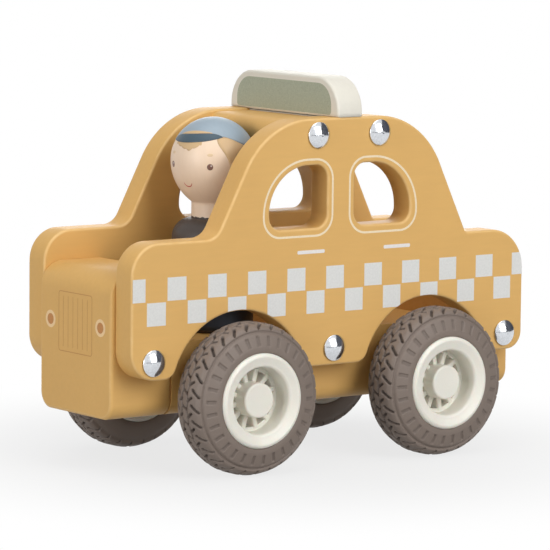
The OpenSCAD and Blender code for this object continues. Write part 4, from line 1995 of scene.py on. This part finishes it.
@dataclass(frozen=True)
class Studio:
    """Pale floor, soft lights and the camera at the photograph's angle, with its place in millimetres."""

    azimuth: float = 143.5904
    elevation: float = 6.5618
    roll: float = -0.6063
    position: tuple[float, float, float] = (816.64, 1104.16, 220.79)
    focal: float = 3888.83
    image: int = 550
    sensor: float = 36.0
    ambient: float = 0.12
    floor_size: float = 12.0
    floor_tone: Colour = (176, 176, 176)
    floor_spread: Point = (0.99, 1.0)
    floor_clouds: float = 3
    floor_roughness: float = 0.9
    shadow_reach: Point = (0.05, 0.18)
    shadow_share: float = 0.22
    cards: tuple[DarkCard, ...] = (DarkCard((-1.0, 0.75), (0, 1.15), 1.25),
                                   DarkCard((0.1, 1.65), (1.2, 0), 0.12))
    lamps: tuple[Lamp, ...] = (Lamp("key_light", (-0.2, 1.32, 0.7), (0.9, 1.2), 16.2),
                               Lamp("front_light", (1.38, 0.2, 0.24), (0.7, 0.7), 10.0),
                               Lamp("top_light", (0.1, 0.1, 1.6), (1.2, 1.2), 10.0),
                               Lamp("back_light", (-1.1, -1.2, 0.55), (1.0, 0.8), 6.0))

    def camera(self) -> None:
        """Sets the camera from its place, its angles and its focal length in pixels."""
        data = bpy.data.cameras.new("camera")
        data.sensor_width = self.sensor
        data.lens = self.focal / self.image * self.sensor
        a, e, r = np.radians([self.azimuth, self.elevation, self.roll])
        back = np.array([np.sin(a) * np.cos(e), -np.cos(a) * np.cos(e), np.sin(e)])
        level = np.cross(-back, [0, 0, 1])
        level = level / np.linalg.norm(level)
        above = np.cross(back, level)
        right = np.cos(r) * level - np.sin(r) * above
        up = np.sin(r) * level + np.cos(r) * above
        turn = np.eye(4)
        turn[:3, :3] = np.column_stack([right, up, back])
        turn[:3, 3] = np.array(self.position) * MM
        camera = bpy.data.objects.new("camera", data)
        camera.matrix_world = Matrix(turn.tolist())
        bpy.context.scene.collection.objects.link(camera)
        bpy.context.scene.camera = camera

    def world(self) -> None:
        """Even light from all round, which the camera and mirrors see as white."""
        world = bpy.data.worlds.new("studio")
        world.use_nodes = True
        bpy.context.scene.world = world
        wires = Wiring(world.node_tree)
        path = wires.node("ShaderNodeLightPath").outputs
        seen = wires.math("MAXIMUM", path["Is Camera Ray"], path["Is Glossy Ray"])
        seen = wires.math("MAXIMUM", seen, path["Is Transmission Ray"])
        strength = wires.node("ShaderNodeMapRange", Value=seen, To_Min=self.ambient, To_Max=1.0)
        sky = wires.tree.nodes["Background"].inputs
        wires.put(strength.outputs["Result"], sky["Strength"])
        wires.put((1, 1, 1, 1), sky["Color"])

    def floor_finish(self) -> Material:
        """Pale matt floor, which the camera and mirrors see as white except for the toy's shadow.

        Returns:
            The material.
        """
        bench = Bench("pale_floor")
        inputs = bench.shader.inputs
        tone = bench.tones(bench.noise(self.floor_clouds), self.floor_tone, self.floor_spread)
        bench.put(tone, inputs["Base Color"])
        bench.put(self.floor_roughness, inputs["Roughness"])
        bench.put(0.0, inputs["Specular IOR Level"])
        away = bench.node("ShaderNodeVectorMath", Vector=bench.place)
        away.operation = "LENGTH"
        near, far = self.shadow_reach
        fade = bench.node("ShaderNodeMapRange", Value=away.outputs["Value"], From_Min=near, From_Max=far,
                          To_Min=1 - self.shadow_share, To_Max=1.0)
        fade.interpolation_type = "SMOOTHSTEP"
        path = bench.node("ShaderNodeLightPath").outputs
        ray = bench.math("MAXIMUM", path["Is Camera Ray"], path["Is Glossy Ray"])
        white = bench.node("ShaderNodeEmission", Color=(1, 1, 1, 1), Strength=1.0)
        blend = bench.node("ShaderNodeMixShader", Fac=bench.math("MULTIPLY", fade.outputs["Result"], ray))
        bench.put(bench.shader.outputs["BSDF"], blend.inputs[1])
        bench.put(white.outputs["Emission"], blend.inputs[2])
        bench.put(blend.outputs["Shader"], bench.tree.nodes["Material Output"].inputs["Surface"])
        return bench.material

    def build(self) -> None:
        """Builds the room."""
        bpy.context.scene.view_settings.view_transform = "Standard"
        self.camera()
        self.world()
        half = self.floor_size / 2
        corners = [(-half, -half, 0), (half, -half, 0), (half, half, 0), (-half, half, 0)]
        stage_quad("floor", corners, self.floor_finish())
        for thing in (*self.cards, *self.lamps):
            thing.build()


def dress_nodes(finish: Finishes) -> None:
    """Gives the nodes that stay in view their finishes.

    Args:
        finish: The mixed finishes by name.
    """
    tones = {"floor_block": "yellow", "roof_board": "yellow", "front_axle": "steel", "rear_axle": "steel"}
    for name, tone in tones.items():
        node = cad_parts[name]
        node.data.materials.clear()
        node.data.materials.append(finish[tone])
        LOG.info("%s: finish %s", name, tone)


def main() -> None:
    """Builds the toy piece by piece, then the room."""
    logging.basicConfig(level=logging.INFO, format="%(name)s %(message)s")
    finish = Palette().mix_all()
    panel = SidePanel()
    trim = PanelPrint(panel)
    for side in Side:
        panel.build(side, finish["yellow"])
        trim.build(side, finish)
    for block in (EndBlock(End.FRONT, "nose_block", top=70.8), EndBlock(End.REAR, "tail_block", top=67.6)):
        block.build(finish["yellow"])
    NosePrint().build(finish)
    RoofSign().build(finish)
    Bolts("roof_bolts", places=(7.8, -18.9), level=115.2).build(finish["chrome"])
    Bolts("lower_bolts", places=(76.5, 0.0, -77.0), level=40.5).build(finish["chrome"])
    Wheels().build(finish)
    doll = Doll()
    for work in (doll, CapAndHair(doll), Face(doll)):
        work.build(finish)
    dress_nodes(finish)
    Studio().build()


if __name__ == "__main__":
    main()
